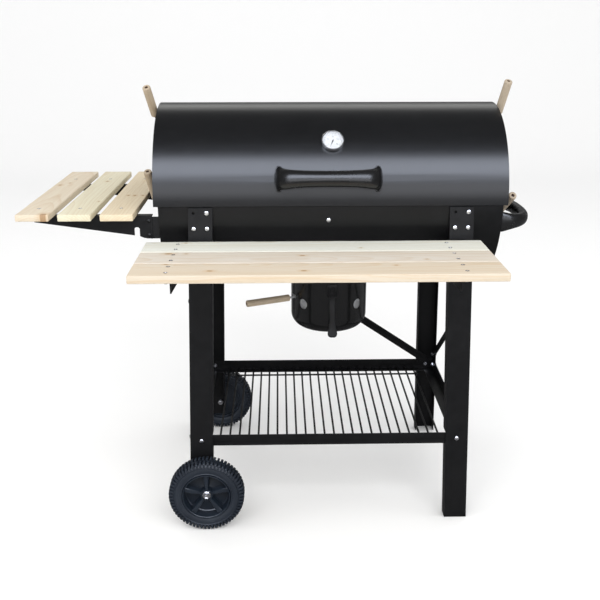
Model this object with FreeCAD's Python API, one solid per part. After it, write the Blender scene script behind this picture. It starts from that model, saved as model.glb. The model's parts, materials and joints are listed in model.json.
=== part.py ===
import FreeCAD, Part
import os, math
from FreeCAD import Vector as V, Rotation, Placement, Matrix

os.makedirs("parts", exist_ok=True)

# ---------------------------------------------------------------- driving dimensions (mm)
# working axes: X along the drum, Y front (-) to back (+), Z up from the floor,
# X = Y = 0 under the middle of the drum; SHIFT moves everything to the frame origin
SHIFT = V(111.85, 101.0, 0.0)

H = 786.0            # height of the split line and of the drum axis
LID_R = 211.0        # lid outer radius
LID_L = 806.0        # lid length
DRUM_R = 208.5       # lower drum outer radius
DRUM_L = 786.0       # lower drum length
SHEET = 1.5          # drum sheet
LEG_W, LEG_D, LEG_T = 55.0, 30.0, 2.0     # leg channel
LEG_X_TOP, LEG_X_FOOT = 297.0, 317.0
LEG_Y_TOP, LEG_Y_FOOT = 213.0, 253.0
LEG_TOP_Z = H - 3.0
WHEEL_R, WHEEL_W = 91.5, 42.0
WHEEL_X, WHEEL_Y = 300.0, 277.0           # wheel centre
RIM_R = 58.0
RAIL_Z0, RAIL_Z1 = 199.0, 228.0
SHELF_Z = 712.0      # top of the front shelf
PLANK_T, PLANK_W = 17.0, 89.0
SIDE_Z = 779.0       # top of the side shelf
SLAT_T, SLAT_W = 15.5, 74.0
BUCKET_X, BUCKET_R = 8.0, 97.0
BUCKET_Z0, BUCKET_Z1 = 430.0, 573.0
HINGE_Y = LID_R + 9.0
LEVER_Z = 690.0      # grate crank shaft height
VENT_Z = 943.0       # lid damper centre
GRATE_ARM = 40.0
LEV_L, LEV_R = 30.0, 54.0                 # lean of the grate levers at rest, degrees
VENT_L, VENT_R = 36.0, 25.0               # lean of the lid damper levers at rest
THERMO_A, THERMO_X = 40.6, 4.0
HANDLE_A = 17.0

# ---------------------------------------------------------------- helpers
def box(x0, x1, y0, y1, z0, z1):
    return Part.makeBox(x1 - x0, y1 - y0, z1 - z0, V(x0, y0, z0))

def cyl(p, d, r, h):
    return Part.makeCylinder(r, h, V(*p), V(*d))

def rod(a, b, r):
    a, b = V(*a), V(*b)
    return Part.makeCylinder(r, (b - a).Length, a, b - a)

def poly(pts):
    return Part.makePolygon([V(*p) for p in pts] + [V(*pts[0])])

def prism(pts, d):
    return Part.Face(poly(pts)).extrude(V(*d))

def loft(a, b):
    return Part.makeLoft([poly(a), poly(b)], True, True)

def fuse(*s):
    s = [x for x in s if x is not None]
    r = s[0].fuse(list(s[1:])) if len(s) > 1 else s[0]
    return r.removeSplitter()

def solids(shape):
    return shape.Solids

def turn(s, p, axis, deg):
    s = s.copy()
    s.rotate(V(*p), V(*axis), deg)
    return s

def move(s, d):
    s = s.copy()
    s.translate(V(*d))
    return s

def mirror_x(s):
    return s.mirror(V(0, 0, 0), V(1, 0, 0))

def mirror_y(s):
    return s.mirror(V(0, 0, 0), V(0, 1, 0))

def bend_path(pts, radii):
    """Polyline with tangent arcs at its inner points."""
    P = [V(*p) for p in pts]
    edges, last = [], P[0]
    for i in range(1, len(P) - 1):
        a, b, c = P[i - 1], P[i], P[i + 1]
        u, w = (a - b).normalize(), (c - b).normalize()
        half = u.getAngle(w) / 2.0
        t = radii[i - 1] / math.tan(half)
        p1, p2 = b + u * t, b + w * t
        mid_dir = (u + w).normalize()
        ctr = b + mid_dir * (radii[i - 1] / math.sin(half))
        mid = ctr - mid_dir * radii[i - 1]
        if (p1 - last).Length > 1e-6:
            edges.append(Part.LineSegment(last, p1).toShape())
        edges.append(Part.Arc(p1, mid, p2).toShape())
        last = p2
    edges.append(Part.LineSegment(last, P[-1]).toShape())
    return Part.Wire(edges)

def pipe(pts, radii, r):
    w = bend_path(pts, radii)
    P = [V(*p) for p in pts]
    prof = Part.Wire([Part.makeCircle(r, P[0], P[1] - P[0])])
    return Part.Wire(w).makePipeShell([prof], True, False)

def dome_head(p, d, r, h):
    """Low domed bolt head standing on p, pointing along d."""
    d = V(*d).normalize()
    base = cyl(p, tuple(d), r, h * 0.35)
    cone = Part.makeCone(r, r * 0.62, h * 0.40, V(*p) + d * h * 0.35, d)
    cap = Part.makeCone(r * 0.62, r * 0.25, h * 0.25, V(*p) + d * h * 0.75, d)
    return base.fuse([cone, cap]).removeSplitter()

def hex_nut(p, d, af, h):
    d = V(*d).normalize()
    pts = [V(af / math.sqrt(3) * math.cos(math.radians(60 * k)), af / math.sqrt(3) * math.sin(math.radians(60 * k)), 0) for k in range(6)]
    f = Part.Face(Part.makePolygon(pts + [pts[0]])).extrude(V(0, 0, h))
    f.Placement = Placement(V(*p), Rotation(V(0, 0, 1), d))
    return f

def bolt(p, d, grip, r=3.0, head=5.6, hh=3.4, nut=True):
    """Bolt with its head seated at p, shank running along -d through grip, and its nut."""
    dv = V(*d).normalize()
    s = dome_head(p, d, head, hh)
    shank = cyl(p, tuple(-dv), r, grip + (6.5 if nut else 0.0))
    parts = [s, shank]
    if nut:
        parts.append(hex_nut(tuple(V(*p) - dv * grip), tuple(-dv), 10.0, 4.5))
    return parts[0].fuse(parts[1:]).removeSplitter()

def hole(p, d, r, L):
    dv = V(*d).normalize()
    return cyl(tuple(V(*p) - dv * (L / 2.0)), tuple(dv), r, L)

OUT = {}
def node(name, shape):
    if isinstance(shape, (list, tuple)):
        shape = Part.makeCompound([s for x in shape for s in x.Solids])
    OUT[name] = shape

# ---------------------------------------------------------------- lower drum
half_low = box(-600, 600, -400, 400, H - 500, H - 1.0)
tube = cyl((-DRUM_L / 2, 0, H), (1, 0, 0), DRUM_R, DRUM_L).cut(cyl((-DRUM_L / 2 - 1, 0, H), (1, 0, 0), DRUM_R - SHEET, DRUM_L + 2))
drum_shell = tube.common(half_low)
ASH_R = 78.0
drum_shell = drum_shell.cut(cyl((BUCKET_X, 0, H - 260), (0, 0, 1), ASH_R, 120))

def drum_end(sx):
    x0 = sx * (DRUM_L / 2 - SHEET) if sx > 0 else -(DRUM_L / 2)
    disc = cyl((x0, 0, H), (1, 0, 0), DRUM_R - SHEET - 0.02, SHEET).common(half_low)
    disc = disc.cut(hole((sx * DRUM_L / 2, 0, LEVER_Z), (1, 0, 0), 5.06, 10))
    return disc
drum_ends = {-1: drum_end(-1), 1: drum_end(1)}

# ledges that carry the cooking grates, and the bar that carries the inner ends of the charcoal grates
zi = H - 24.0
yi = math.sqrt((DRUM_R - SHEET - 0.05) ** 2 - (H - zi + 14) ** 2)
ledge = prism([(-386, -yi, zi - 14), (-386, -yi, zi), (-386, -yi + 20, zi), (-386, -yi + 20, zi - 1.8), (-386, -yi + 1.8, zi - 1.8), (-386, -yi + 1.8, zi - 14)], (772, 0, 0))
bar_z1 = 694.9
ybar = math.sqrt((DRUM_R - SHEET - 0.1) ** 2 - (H - bar_z1 + 4.0) ** 2)
cross = box(-20, 20, -ybar, ybar, bar_z1 - 4, bar_z1)
tabs = [box(-20, 20, s * ybar - (3 if s > 0 else 0), s * ybar + (0 if s > 0 else 3), bar_z1, bar_z1 + 16).common(cyl((-30, 0, H), (1, 0, 0), DRUM_R - SHEET - 0.1, 60)) for s in (-1, 1)]
cross = fuse(cross, *tabs)
front_ledge = ledge
rear_ledge = mirror_y(ledge)

# collar for the ash bucket
collar = cyl((BUCKET_X, 0, 556), (0, 0, 1), 92.5, 60).cut(cyl((BUCKET_X, 0, 550), (0, 0, 1), 91.0, 80)).cut(cyl((-300, 0, H), (1, 0, 0), DRUM_R + 0.02, 600))
node("ash_collar", collar)

# ---------------------------------------------------------------- legs
def leg(sx, sy, zfoot):
    """U channel, web outwards in Y, splayed towards the foot; trimmed where it meets the drum."""
    def sec(z):
        t = 1.0 - z / LEG_TOP_Z
        x = LEG_X_TOP + (LEG_X_FOOT - LEG_X_TOP) * t
        y = LEG_Y_TOP + (LEG_Y_FOOT - LEG_Y_TOP) * t
        w = LEG_W / 2
        p = [(-w, 0), (w, 0), (w, -LEG_D), (w - LEG_T, -LEG_D), (w - LEG_T, -LEG_T), (-w + LEG_T, -LEG_T), (-w + LEG_T, -LEG_D), (-w, -LEG_D)]
        return [(sx * x + a, sy * (y + b), z) for a, b in p]
    s = loft(sec(zfoot), sec(LEG_TOP_Z))
    s = s.cut(cyl((-600, 0, H), (1, 0, 0), DRUM_R + 0.4, 1200))
    return s

def leg_pos(sx, sy, z):
    t = 1.0 - z / LEG_TOP_Z
    return (sx * (LEG_X_TOP + (LEG_X_FOOT - LEG_X_TOP) * t), sy * (LEG_Y_TOP + (LEG_Y_FOOT - LEG_Y_TOP) * t), z)

FOOT_Z = {-1: 52.0, 1: 0.0}
legs = {(sx, sy): leg(sx, sy, FOOT_Z[sx]) for sx in (-1, 1) for sy in (-1, 1)}
bolts = []

# leg-to-drum bolts: three on each leg top and one spare hole
for (sx, sy) in list(legs):
    xc = sx * 298.0
    for k, (dx, z) in enumerate([(15, H - 14), (-15, H - 50), (15, H - 50), (-15, H - 14)]):
        px, py, pz = leg_pos(sx, sy, z)
        px = xc + dx
        ydrum = math.sqrt((DRUM_R - SHEET) ** 2 - (H - z) ** 2)
        legs[(sx, sy)] = legs[(sx, sy)].cut(hole((px, py, z), (0, 1, 0), 3.25, 16))
        if k < 3:
            grip = py * sy - ydrum + (0.8 if z > H - 30 else 1.6)
            bolts.append(bolt((px, py + sy * 0.42, z), (0, sy, 0), grip + 0.6))
            drum_shell = drum_shell.cut(hole((px, sy * (ydrum + 0.5), z), (0, 1, 0), 3.25, 14))
            

# centre bolt on the front of the drum
yb = math.sqrt(DRUM_R ** 2 - 33.0 ** 2)
nb = V(0, -yb, -33.0).normalize()
pb = V(-6, -yb, H - 33) + nb * 0.1
bolts.append(bolt(tuple(pb), tuple(nb), 9.6))
drum_shell = drum_shell.cut(hole(tuple(pb), tuple(nb), 3.25, 14))

front_ledge = front_ledge.cut(hole(tuple(pb), tuple(nb), 3.6, 40))
node("grate_supports", [front_ledge, rear_ledge, cross])

# ---------------------------------------------------------------- lower rails
def yweb(z):
    return LEG_Y_TOP + (LEG_Y_FOOT - LEG_Y_TOP) * (1 - z / LEG_TOP_Z)
def xleg(z):
    return LEG_X_TOP + (LEG_X_FOOT - LEG_X_TOP) * (1 - z / LEG_TOP_Z)

# front and rear rails run between the leg channels and bolt on behind the webs
def rail_fr(sy):
    y1 = yweb(RAIL_Z1) - LEG_T - 0.6      # outer face of the rail's web, against the inside of the leg web
    xa = xleg(RAIL_Z1) + LEG_W / 2 - LEG_T - 4
    s = fuse(box(-xa, xa, y1 - 2.0, y1, RAIL_Z0, RAIL_Z1), box(-xa, xa, y1 - 24.0, y1, RAIL_Z0, RAIL_Z0 + 2.0))
    # the channel's inner flange is notched round the rail
    return (s if sy > 0 else mirror_y(s)), y1
rails = {}
for sy in (-1, 1):
    r_, y1 = rail_fr(sy)
    rails[sy] = r_
RAIL_Y = y1
notch = {}
for sx in (-1, 1):
    for sy in (-1, 1):
        xi = sx * (xleg(RAIL_Z0) - LEG_W / 2)
        n = box(min(xi - 5, xi + 5), max(xi - 5, xi + 5), RAIL_Y - 34, RAIL_Y + 0.4, RAIL_Z0 - 1.0, RAIL_Z1 + 1.0)
        if sy < 0:
            n = mirror_y(n)
        legs[(sx, sy)] = legs[(sx, sy)].cut(n)
for sx in (-1, 1):
    for sy in (-1, 1):
        z = 214.0
        px, py, _ = leg_pos(sx, sy, z)
        b = bolt((px, py + sy * 0.42, z), (0, sy, 0), py * sy - RAIL_Y + 2.0 + 0.8)
        bolts.append(b)
        h = hole((px, py, z), (0, 1, 0), 3.25, 30)
        legs[(sx, sy)] = legs[(sx, sy)].cut(h)
        rails[sy] = rails[sy].cut(h)

# side rails: angles bolted to the inside of the outer flanges
SR_Z0, SR_Z1 = RAIL_Z0 + 2.3, RAIL_Z1 + 2.3
side_rails = []
for sx in (-1, 1):
    xo = xleg(SR_Z1) + LEG_W / 2 - LEG_T - 0.6 - 0.4
    ye = RAIL_Y - 2.4
    yq = ye
    s = fuse(box(xo - 2, xo, -yq, yq, SR_Z0, SR_Z1), box(xo - 30, xo, -(RAIL_Y - 25.0), RAIL_Y - 25.0, SR_Z0, SR_Z0 + 2))
    if sx < 0:
        s = mirror_x(s)
    for sy in (-1, 1):
        yb_ = sy * (yweb(216.0) - 20.0)
        px = sx * (xleg(216.0) + LEG_W / 2)
        h = hole((px, yb_, 216.5), (1, 0, 0), 3.25, 24)
        s = s.cut(h)
        legs[(sx, sy)] = legs[(sx, sy)].cut(h)
        bolts.append(bolt((px + sx * 0.3, yb_, 216.5), (sx, 0, 0), abs(px) - xo + 2.0 + 0.7, nut=True))
    side_rails.append(s)
node("side_rails", side_rails)

# ---------------------------------------------------------------- braces
def flat_bar(a, b, w, t, nrm, ext=12.0):
    """Flat bar from a to b, width w, thickness t along nrm (centred on the line)."""
    a, b, n = V(*a), V(*b), V(*nrm).normalize()
    u = (b - a).normalize()
    a, b = a - u * ext, b + u * ext
    s = n.cross(u).normalize()
    p = [a + s * w / 2, b + s * w / 2, b - s * w / 2, a - s * w / 2]
    f = Part.Face(Part.makePolygon(p + [p[0]]))
    return move(f.extrude(n * t), tuple(n * (-t / 2)))

# rear brace: on the inside of the rear leg flanges, from the rear-right foot end to the rear-left top
yR = lambda z: yweb(z) - LEG_D - 2.4
za, zb = 245.0, 644.0
a = V(xleg(za) - 14.0, yR(za), za)
b = V(-(xleg(zb) - 14.0), yR(zb), zb)
n_rear = V(0, 1, (LEG_Y_FOOT - LEG_Y_TOP) / LEG_TOP_Z).normalize()
rear_brace = flat_bar(tuple(a), tuple(b), 22.0, 2.5, tuple(n_rear))
node("brace_rear", rear_brace)

# side braces: outside of the outer flanges, rear-bottom to front-top
side_br = []
for sx in (-1, 1):
    xo = lambda z: xleg(z) + LEG_W / 2 - LEG_T - 2.6
    z1, z2 = 250.0, 560.0
    a = V(sx * xo(z1), yweb(z1) - 19.0, z1)
    b = V(sx * xo(z2), -(yweb(z2) - 19.0), z2)
    n = V(1, 0, sx * (LEG_X_FOOT - LEG_X_TOP) / LEG_TOP_Z).normalize()
    s = flat_bar(tuple(a), tuple(b), 20.0, 2.5, tuple(n), 9.0)
    for p_, sy in ((a, 1), (b, -1)):
        h = hole(tuple(p_), (1, 0, 0), 3.25, 20)
        s = s.cut(h)
        legs[(sx, sy)] = legs[(sx, sy)].cut(h)
        px = sx * (xleg(p_.z) + LEG_W / 2)
        bolts.append(bolt((px + sx * 0.2, p_.y, p_.z), (sx, 0, 0), LEG_T + 2.5 + 2.2, nut=True))
    side_br.append(s)
node("side_braces", side_br)
# rear brace bolts
for p_, sx in ((V(xleg(za) - 14.0, yR(za), za), 1), (V(-(xleg(zb) - 14.0), yR(zb), zb), -1)):
    h = hole(tuple(p_), (0, 1, 0), 3.25, 14)
    OUT["brace_rear"] = OUT["brace_rear"].cut(h)
    # clip: short Z of sheet from the bar to the leg's inner flange
node("rail_front", rails[-1])
node("rail_rear", rails[1])

# ---------------------------------------------------------------- wire rack
WZ = RAIL_Z0 + 2.0 + 2.6
wires = []
WY = RAIL_Y - 5.0
for k in range(24):
    x = -268.8 + 23.6 * k
    wires.append(rod((x, -WY, WZ), (x, WY, WZ), 2.5))
for y in (-(RAIL_Y - 47.0), RAIL_Y - 47.0):
    wires.append(rod((-276.5, y, WZ - 3.6), (281.6, y, WZ - 3.6), 2.5))
node("wire_rack", fuse(*wires))

# ---------------------------------------------------------------- wheels and axles
AX_R = 5.0
axles = []
for sy in (-1, 1):
    yw = yweb(WHEEL_R) * sy
    head_y = sy * (WHEEL_Y + WHEEL_W / 2 - 6.0)
    a = (-WHEEL_X, sy * (yweb(WHEEL_R) - LEG_T - 8.5), WHEEL_R)
    b = (-WHEEL_X, sy * (WHEEL_Y + WHEEL_W / 2 - 5.0), WHEEL_R)
    sh = rod(a, b, AX_R)
    nut_out = hex_nut((-WHEEL_X, sy * (WHEEL_Y + WHEEL_W / 2 - 9.0), WHEEL_R), (0, sy, 0), 15.0, 6.5)
    flange = cyl((-WHEEL_X, sy * (WHEEL_Y + WHEEL_W / 2 - 10.4), WHEEL_R), (0, sy, 0), 10.0, 1.6)
    nut_in = hex_nut((-WHEEL_X, sy * (yweb(WHEEL_R) - LEG_T - 1.3), WHEEL_R), (0, -sy, 0), 15.0, 6.5)
    spacer = cyl((-WHEEL_X, sy * (yweb(WHEEL_R) + 0.3), WHEEL_R), (0, sy, 0), 9.0, WHEEL_Y - WHEEL_W / 2 + 3.0 - yweb(WHEEL_R) - 0.6)
    axles.append(fuse(sh, nut_out, flange, nut_in, spacer))
    legs[(-1, sy)] = legs[(-1, sy)].cut(hole((-WHEEL_X, yw, WHEEL_R), (0, 1, 0), AX_R + 0.6, 30))
node("wheel_axles", axles)

def wheel_parts(sy):
    """Built about the origin with its axis along Y; the outer side faces +Y."""
    w = WHEEL_W
    tyre = cyl((0, -w / 2, 0), (0, 1, 0), WHEEL_R, w).cut(cyl((0, -w / 2 - 1, 0), (0, 1, 0), RIM_R, w + 2))
    te = [e for e in tyre.Edges if abs(e.BoundBox.XLength - 2 * WHEEL_R) < 0.5]
    tyre = tyre.makeFillet(6.0, te)
    rim = cyl((0, -w / 2 + 3, 0), (0, 1, 0), RIM_R - 0.1, w - 6).cut(cyl((0, -w / 2 - 1, 0), (0, 1, 0), RIM_R - 5.0, w + 2))
    web = cyl((0, -9.0, 0), (0, 1, 0), RIM_R - 3.0, 3.0)
    hub = cyl((0, -w / 2 + 3.3, 0), (0, 1, 0), 15.0, w - 14.0)
    spokes = []
    for k in range(5):
        a = math.radians(90 + 72 * k)
        wi, wo = 5.0, 8.5
        c, s = math.cos(a), math.sin(a)
        def P(r, t, y):
            return (r * c - t * s, y, r * s + t * c)
        spokes.append(prism([P(12, -wi, -7), P(12, wi, -7), P(RIM_R - 3.0, wo, -7), P(RIM_R - 3.0, -wo, -7)], (0, 17, 0)))
    rimset = fuse(rim, hub, web, *spokes).cut(cyl((0, -40, 0), (0, 1, 0), AX_R + 0.08, 80))
    if sy < 0:
        tyre, rimset = mirror_y(tyre), mirror_y(rimset)
    c = (-WHEEL_X, sy * WHEEL_Y, WHEEL_R)
    return move(tyre, c), move(rimset, c)
for nm, sy in (("front", -1), ("rear", 1)):
    t_, r_ = wheel_parts(sy)
    node("wheel_tyre_" + nm, t_)
    node("wheel_rim_" + nm, r_)

# ---------------------------------------------------------------- front shelf
PX0, PX1 = -419.0, 339.0

def shelf_screw(x, y, z, t, zn):
    """Countersunk screw set just under the wood's face, with its nut under the bracket flange."""
    head = Part.makeCone(2.0, 4.4, 2.6, V(x, y, z - 3.0), V(0, 0, 1))
    return fuse(head, cyl((x, y, z - 1.0), (0, 0, -1), 2.0, t + 5.0), hex_nut((x, y, zn), (0, 0, -1), 7.0, 3.2))

def screw_seat(x, y, z):
    return cyl((x, y, z + 1), (0, 0, -1), 2.2, 60).fuse([Part.makeCone(2.2, 4.65, 2.65, V(x, y, z - 3.1), V(0, 0, 1)), cyl((x, y, z - 0.45), (0, 0, 1), 4.65, 2.0)])

PY0 = -237.0
screws = []
planks = []
for k in range(3):
    y1 = PY0 - k * (PLANK_W + 1.5)
    p = box(PX0, PX1, y1 - PLANK_W, y1, SHELF_Z - PLANK_T, SHELF_Z)
    p = p.makeFillet(2.0, [e for e in p.Edges if e.BoundBox.XLength > 300 and e.BoundBox.ZMin > SHELF_Z - 1])
    planks.append(p)
SB_X = (-336.0, 247.5)       # shelf bracket webs
SB_H0, SB_H1 = 26.0, 52.0    # web height at the front and at the leg
brk = []
SZ = SHELF_Z - PLANK_T - 0.1
for i, x in enumerate(SB_X):
    ye = PY0 - 3 * PLANK_W - 3.0 + 19.0
    zt = SZ
    # triangular web that reaches back to the leg's front face
    s = 1 if i else -1
    yl = lambda z: -(yweb(z) + 0.4)
    web = prism([(x - 1.25, yl(zt), zt), (x - 1.25, ye, zt), (x - 1.25, ye, zt - SB_H0), (x - 1.25, yl(zt - SB_H1), zt - SB_H1)], (2.5, 0, 0))
    fl_x0 = x - 1.25 if i else x - 20
    fl = box(fl_x0, fl_x0 + 21.25, ye, yl(zt), zt - 2.5, zt)
    # back flange on the leg web
    xa, xb = (x, x + 22) if i else (x - 1.25, x + 22)
    if i == 0:
        xa, xb = x - 1.25, x + 46
    else:
        xa, xb = x - 1.25, x + 52
    back = loft([(xa, yl(zt - SB_H1), zt - SB_H1), (xb, yl(zt - SB_H1), zt - SB_H1), (xb, yl(zt - SB_H1) - 2.5, zt - SB_H1), (xa, yl(zt - SB_H1) - 2.5, zt - SB_H1)],
                [(xa, yl(zt), zt), (xb, yl(zt), zt), (xb, yl(zt) - 2.5, zt), (xa, yl(zt) - 2.5, zt)])
    b_ = fuse(web, fl, back)
    sx = 1 if i else -1
    for z in (zt - 14, zt - 38):
        px = x + (33.0 if i == 0 else 39.0)
        py = -(yweb(z))
        h = hole((px, py, z), (0, 1, 0), 3.5, 20)
        b_ = b_.cut(h)
        legs[(sx, -1)] = legs[(sx, -1)].cut(h)
        bolts.append(bolt((px, py - 3.3, z), (0, -1, 0), 3.3 + LEG_T + 0.7))
    fx = x - 9.0 if i == 0 else x + 9.0
    for k in range(3):
        for dy in (-22.0, 22.0):
            yy = PY0 - k * (PLANK_W + 1.5) - PLANK_W / 2 + dy
            if yy > yl(zt) - 8:
                continue
            b_ = b_.cut(hole((fx, yy, SZ), (0, 0, 1), 2.2, 60))
            screws.append(shelf_screw(fx, yy, SHELF_Z, PLANK_T, SZ - 2.6))
            planks[k] = planks[k].cut(screw_seat(fx, yy, SHELF_Z))
    brk.append(b_)
node("front_shelf_brackets", brk)
for k in range(3):
    node("front_plank_%d" % (k + 1), planks[k])

# ---------------------------------------------------------------- side shelf
SY0, SY1 = -255.0, 305.0
slats = []
for k in range(3):
    x1 = -442.0 - k * (SLAT_W + 19.0)
    s = box(x1 - SLAT_W, x1, SY0, SY1, SIDE_Z - SLAT_T, SIDE_Z)
    s = s.makeFillet(2.0, [e for e in s.Edges if e.BoundBox.YLength > 300 and e.BoundBox.ZMin > SIDE_Z - 1])
    slats.append(s)
BZ = SIDE_Z - SLAT_T - 0.1
XE, XR = -676.0, -409.0
side_brk, mounts_ = [], []
for sy in (-1, 1):
    yo = sy * 198.0
    pts = [(XE, yo, BZ), (XR, yo, BZ), (XR, yo, BZ - 54), (XR - 20, yo, BZ - 52), (-438, yo, BZ - 48), (-438, yo, BZ - 30), (-441, yo, BZ - 27), (-447, yo, BZ - 27), (-450, yo, BZ - 30), (-450, yo, BZ - 46), (XE, yo, BZ - 14)]
    web = prism(pts, (0, -sy * 2.5, 0))
    fl = box(XE, XR, min(yo, yo - sy * 20), max(yo, yo - sy * 20), BZ - 2.5, BZ)
    tip = box(XE, XE + 2.5, min(yo, yo - sy * 20), max(yo, yo - sy * 20), BZ - 14, BZ)
    b_ = fuse(web, fl, tip)
    # mount angle: one leg against the bracket web, the other on the drum's end plate
    ym = yo - sy * 2.8
    m1 = box(-424.0, -DRUM_L / 2 - 0.3, min(ym, ym - sy * 2.5), max(ym, ym - sy * 2.5), BZ - 54, BZ - 3.0)
    m2 = box(-DRUM_L / 2 - 2.8, -DRUM_L / 2 - 0.3, min(ym, ym - sy * 26), max(ym, ym - sy * 26), BZ - 54, BZ - 3.0)
    m_ = fuse(m1, m2)
    for z in (BZ - 12, BZ - 45):
        h = hole((-416.5, yo, z), (0, 1, 0), 3.25, 24)
        b_, m_ = b_.cut(h), m_.cut(h)
        bolts.append(bolt((-416.5, yo + sy * 0.1, z), (0, sy, 0), 5.6 + 0.3, head=5.0))
    for z in (BZ - 14, BZ - 34):
        yy = ym - sy * 17
        h = hole((-DRUM_L / 2, yy, z), (1, 0, 0), 3.25, 16)
        m_ = m_.cut(h)
        drum_ends[-1] = drum_ends[-1].cut(h)
        bolts.append(bolt((-DRUM_L / 2 - 2.9, yy, z), (-1, 0, 0), 2.9 + SHEET + 0.3, head=5.0))
    for k in range(3):
        xx = -442.0 - k * (SLAT_W + 19.0) - SLAT_W / 2
        yy = yo - sy * 11
        b_ = b_.cut(hole((xx, yy, SIDE_Z), (0, 0, 1), 2.2, 60))
        slats[k] = slats[k].cut(screw_seat(xx, yy, SIDE_Z))
        screws.append(shelf_screw(xx, yy, SIDE_Z, SLAT_T, BZ - 2.6))
    side_brk.append(b_)
    mounts_.append(m_)
node("side_shelf_brackets", side_brk)
node("side_shelf_mounts", mounts_)
for k in range(3):
    node("side_slat_%d" % (k + 1), slats[k])
node("shelf_screws", screws)

# ---------------------------------------------------------------- push handle on the right end
PHZ = 743.0
xs = DRUM_L / 2 + 0.3
PHY0, PHY1 = -190.0, 50.0
ph = pipe([(xs + 6, PHY0, PHZ), (xs + 73, PHY0 + 14, PHZ), (xs + 73, PHY1 - 14, PHZ), (xs + 6, PHY1, PHZ)], [42.0, 42.0], 12.0)
feet = []
for y, d in ((PHY0, 1), (PHY1, -1)):
    f = Part.makeCone(20.0, 15.0, 12.0, V(xs, y, PHZ), V(1, 0, 0))
    feet.append(f)
ph = fuse(ph, *feet)
# the sheet behind each foot follows the drum's edge, so the foot is trimmed flat
for y in (PHY0 + 4, PHY1):
    h = hole((xs, y, PHZ), (1, 0, 0), 3.0, 24)
    ph = ph.cut(hole((xs, y, PHZ), (1, 0, 0), 3.0, 24))
    drum_ends[1] = drum_ends[1].cut(hole((xs, y, PHZ), (1, 0, 0), 3.25, 8))
    bolts.append(bolt((DRUM_L / 2 - SHEET - 0.1, y, PHZ), (-1, 0, 0), 11.0, r=2.9, nut=False))
node("push_handle", ph)

# ---------------------------------------------------------------- lid
half_up = box(-600, 600, -400, 400, H, H + 500)
lt = cyl((-LID_L / 2, 0, H), (1, 0, 0), LID_R, LID_L).cut(cyl((-LID_L / 2 - 1, 0, H), (1, 0, 0), LID_R - SHEET, LID_L + 2))
lid_shell = lt.common(half_up)

def on_lid(x, deg, r=LID_R):
    a = math.radians(deg)
    return V(x, -r * math.cos(a), H + r * math.sin(a)), V(0, -math.cos(a), math.sin(a))

def lid_end(sx):
    x0 = LID_L / 2 - SHEET if sx > 0 else -LID_L / 2
    d = cyl((x0, 0, H), (1, 0, 0), LID_R - SHEET - 0.02, SHEET).common(half_up)
    lx0, lx1 = (DRUM_L / 2 - 6, LID_L / 2 - SHEET) if sx > 0 else (-LID_L / 2 + SHEET, -DRUM_L / 2 + 6)
    lip = box(lx0, lx1, -LID_R + 6, LID_R - 6, H, H + SHEET)
    d = fuse(d, lip)
    c = (sx * LID_L / 2, 0, VENT_Z)
    d = d.cut(hole(c, (1, 0, 0), 3.06, 14))
    for k in range(3):
        a = math.radians(90 + 120 * k)
        d = d.cut(hole((c[0], 21 * math.cos(a), VENT_Z + 21 * math.sin(a)), (1, 0, 0), 9.0, 14))
    return d
lid_ends = {s: lid_end(s) for s in (-1, 1)}

# thermometer: case with stem, dial, needle and glass
tp, tn = on_lid(THERMO_X, THERMO_A)
def along(p, n, k):
    return tuple(V(*p) + V(*n) * k)
tn_t, tp_t = tuple(tn), tuple(tp)
case = fuse(cyl(along(tp_t, tn_t, 1.2), tn_t, 26.0, 9.0), cyl(along(tp_t, tn_t, 0.3), tn_t, 12.0, 1.0),
            cyl(along(tp_t, tn_t, 1.4), tuple(-tn), 4.0, 62.0), cyl(along(tp_t, tn_t, -SHEET - 0.3), tuple(-tn), 9.0, 4.0))
case = case.cut(cyl(along(tp_t, tn_t, 3.0), tn_t, 23.2, 20.0))
lid_shell = lid_shell.cut(cyl(along(tp_t, tn_t, 10), tuple(-tn), 4.3, 40))
dial = cyl(along(tp_t, tn_t, 3.0), tn_t, 23.1, 1.2).cut(cyl(along(tp_t, tn_t, 2.0), tn_t, 2.0, 10))
needle_pts = []
ux, uy = V(1, 0, 0), V(0, tn.z, -tn.y)
uy = tn.cross(V(1, 0, 0)).normalize()
def tpt(a, r, k):
    a = math.radians(a)
    return tuple(tp + tn * k + V(1, 0, 0) * (r * math.cos(a)) + uy * (r * math.sin(a)))
needle = fuse(cyl(along(tp_t, tn_t, 3.2), tn_t, 1.9, 3.4), prism([tpt(200 + 90, 1.2, 5.0), tpt(200, 17.0, 5.0), tpt(200 - 90, 1.2, 5.0), tpt(20, 5.0, 5.0)], tuple(tn * 0.7)))
glass = cyl(along(tp_t, tn_t, 7.6), tn_t, 23.1, 1.6)
node("thermometer_case", case)
node("thermometer_dial", dial)
node("thermometer_needle", needle)
node("thermometer_glass", glass)

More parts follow.
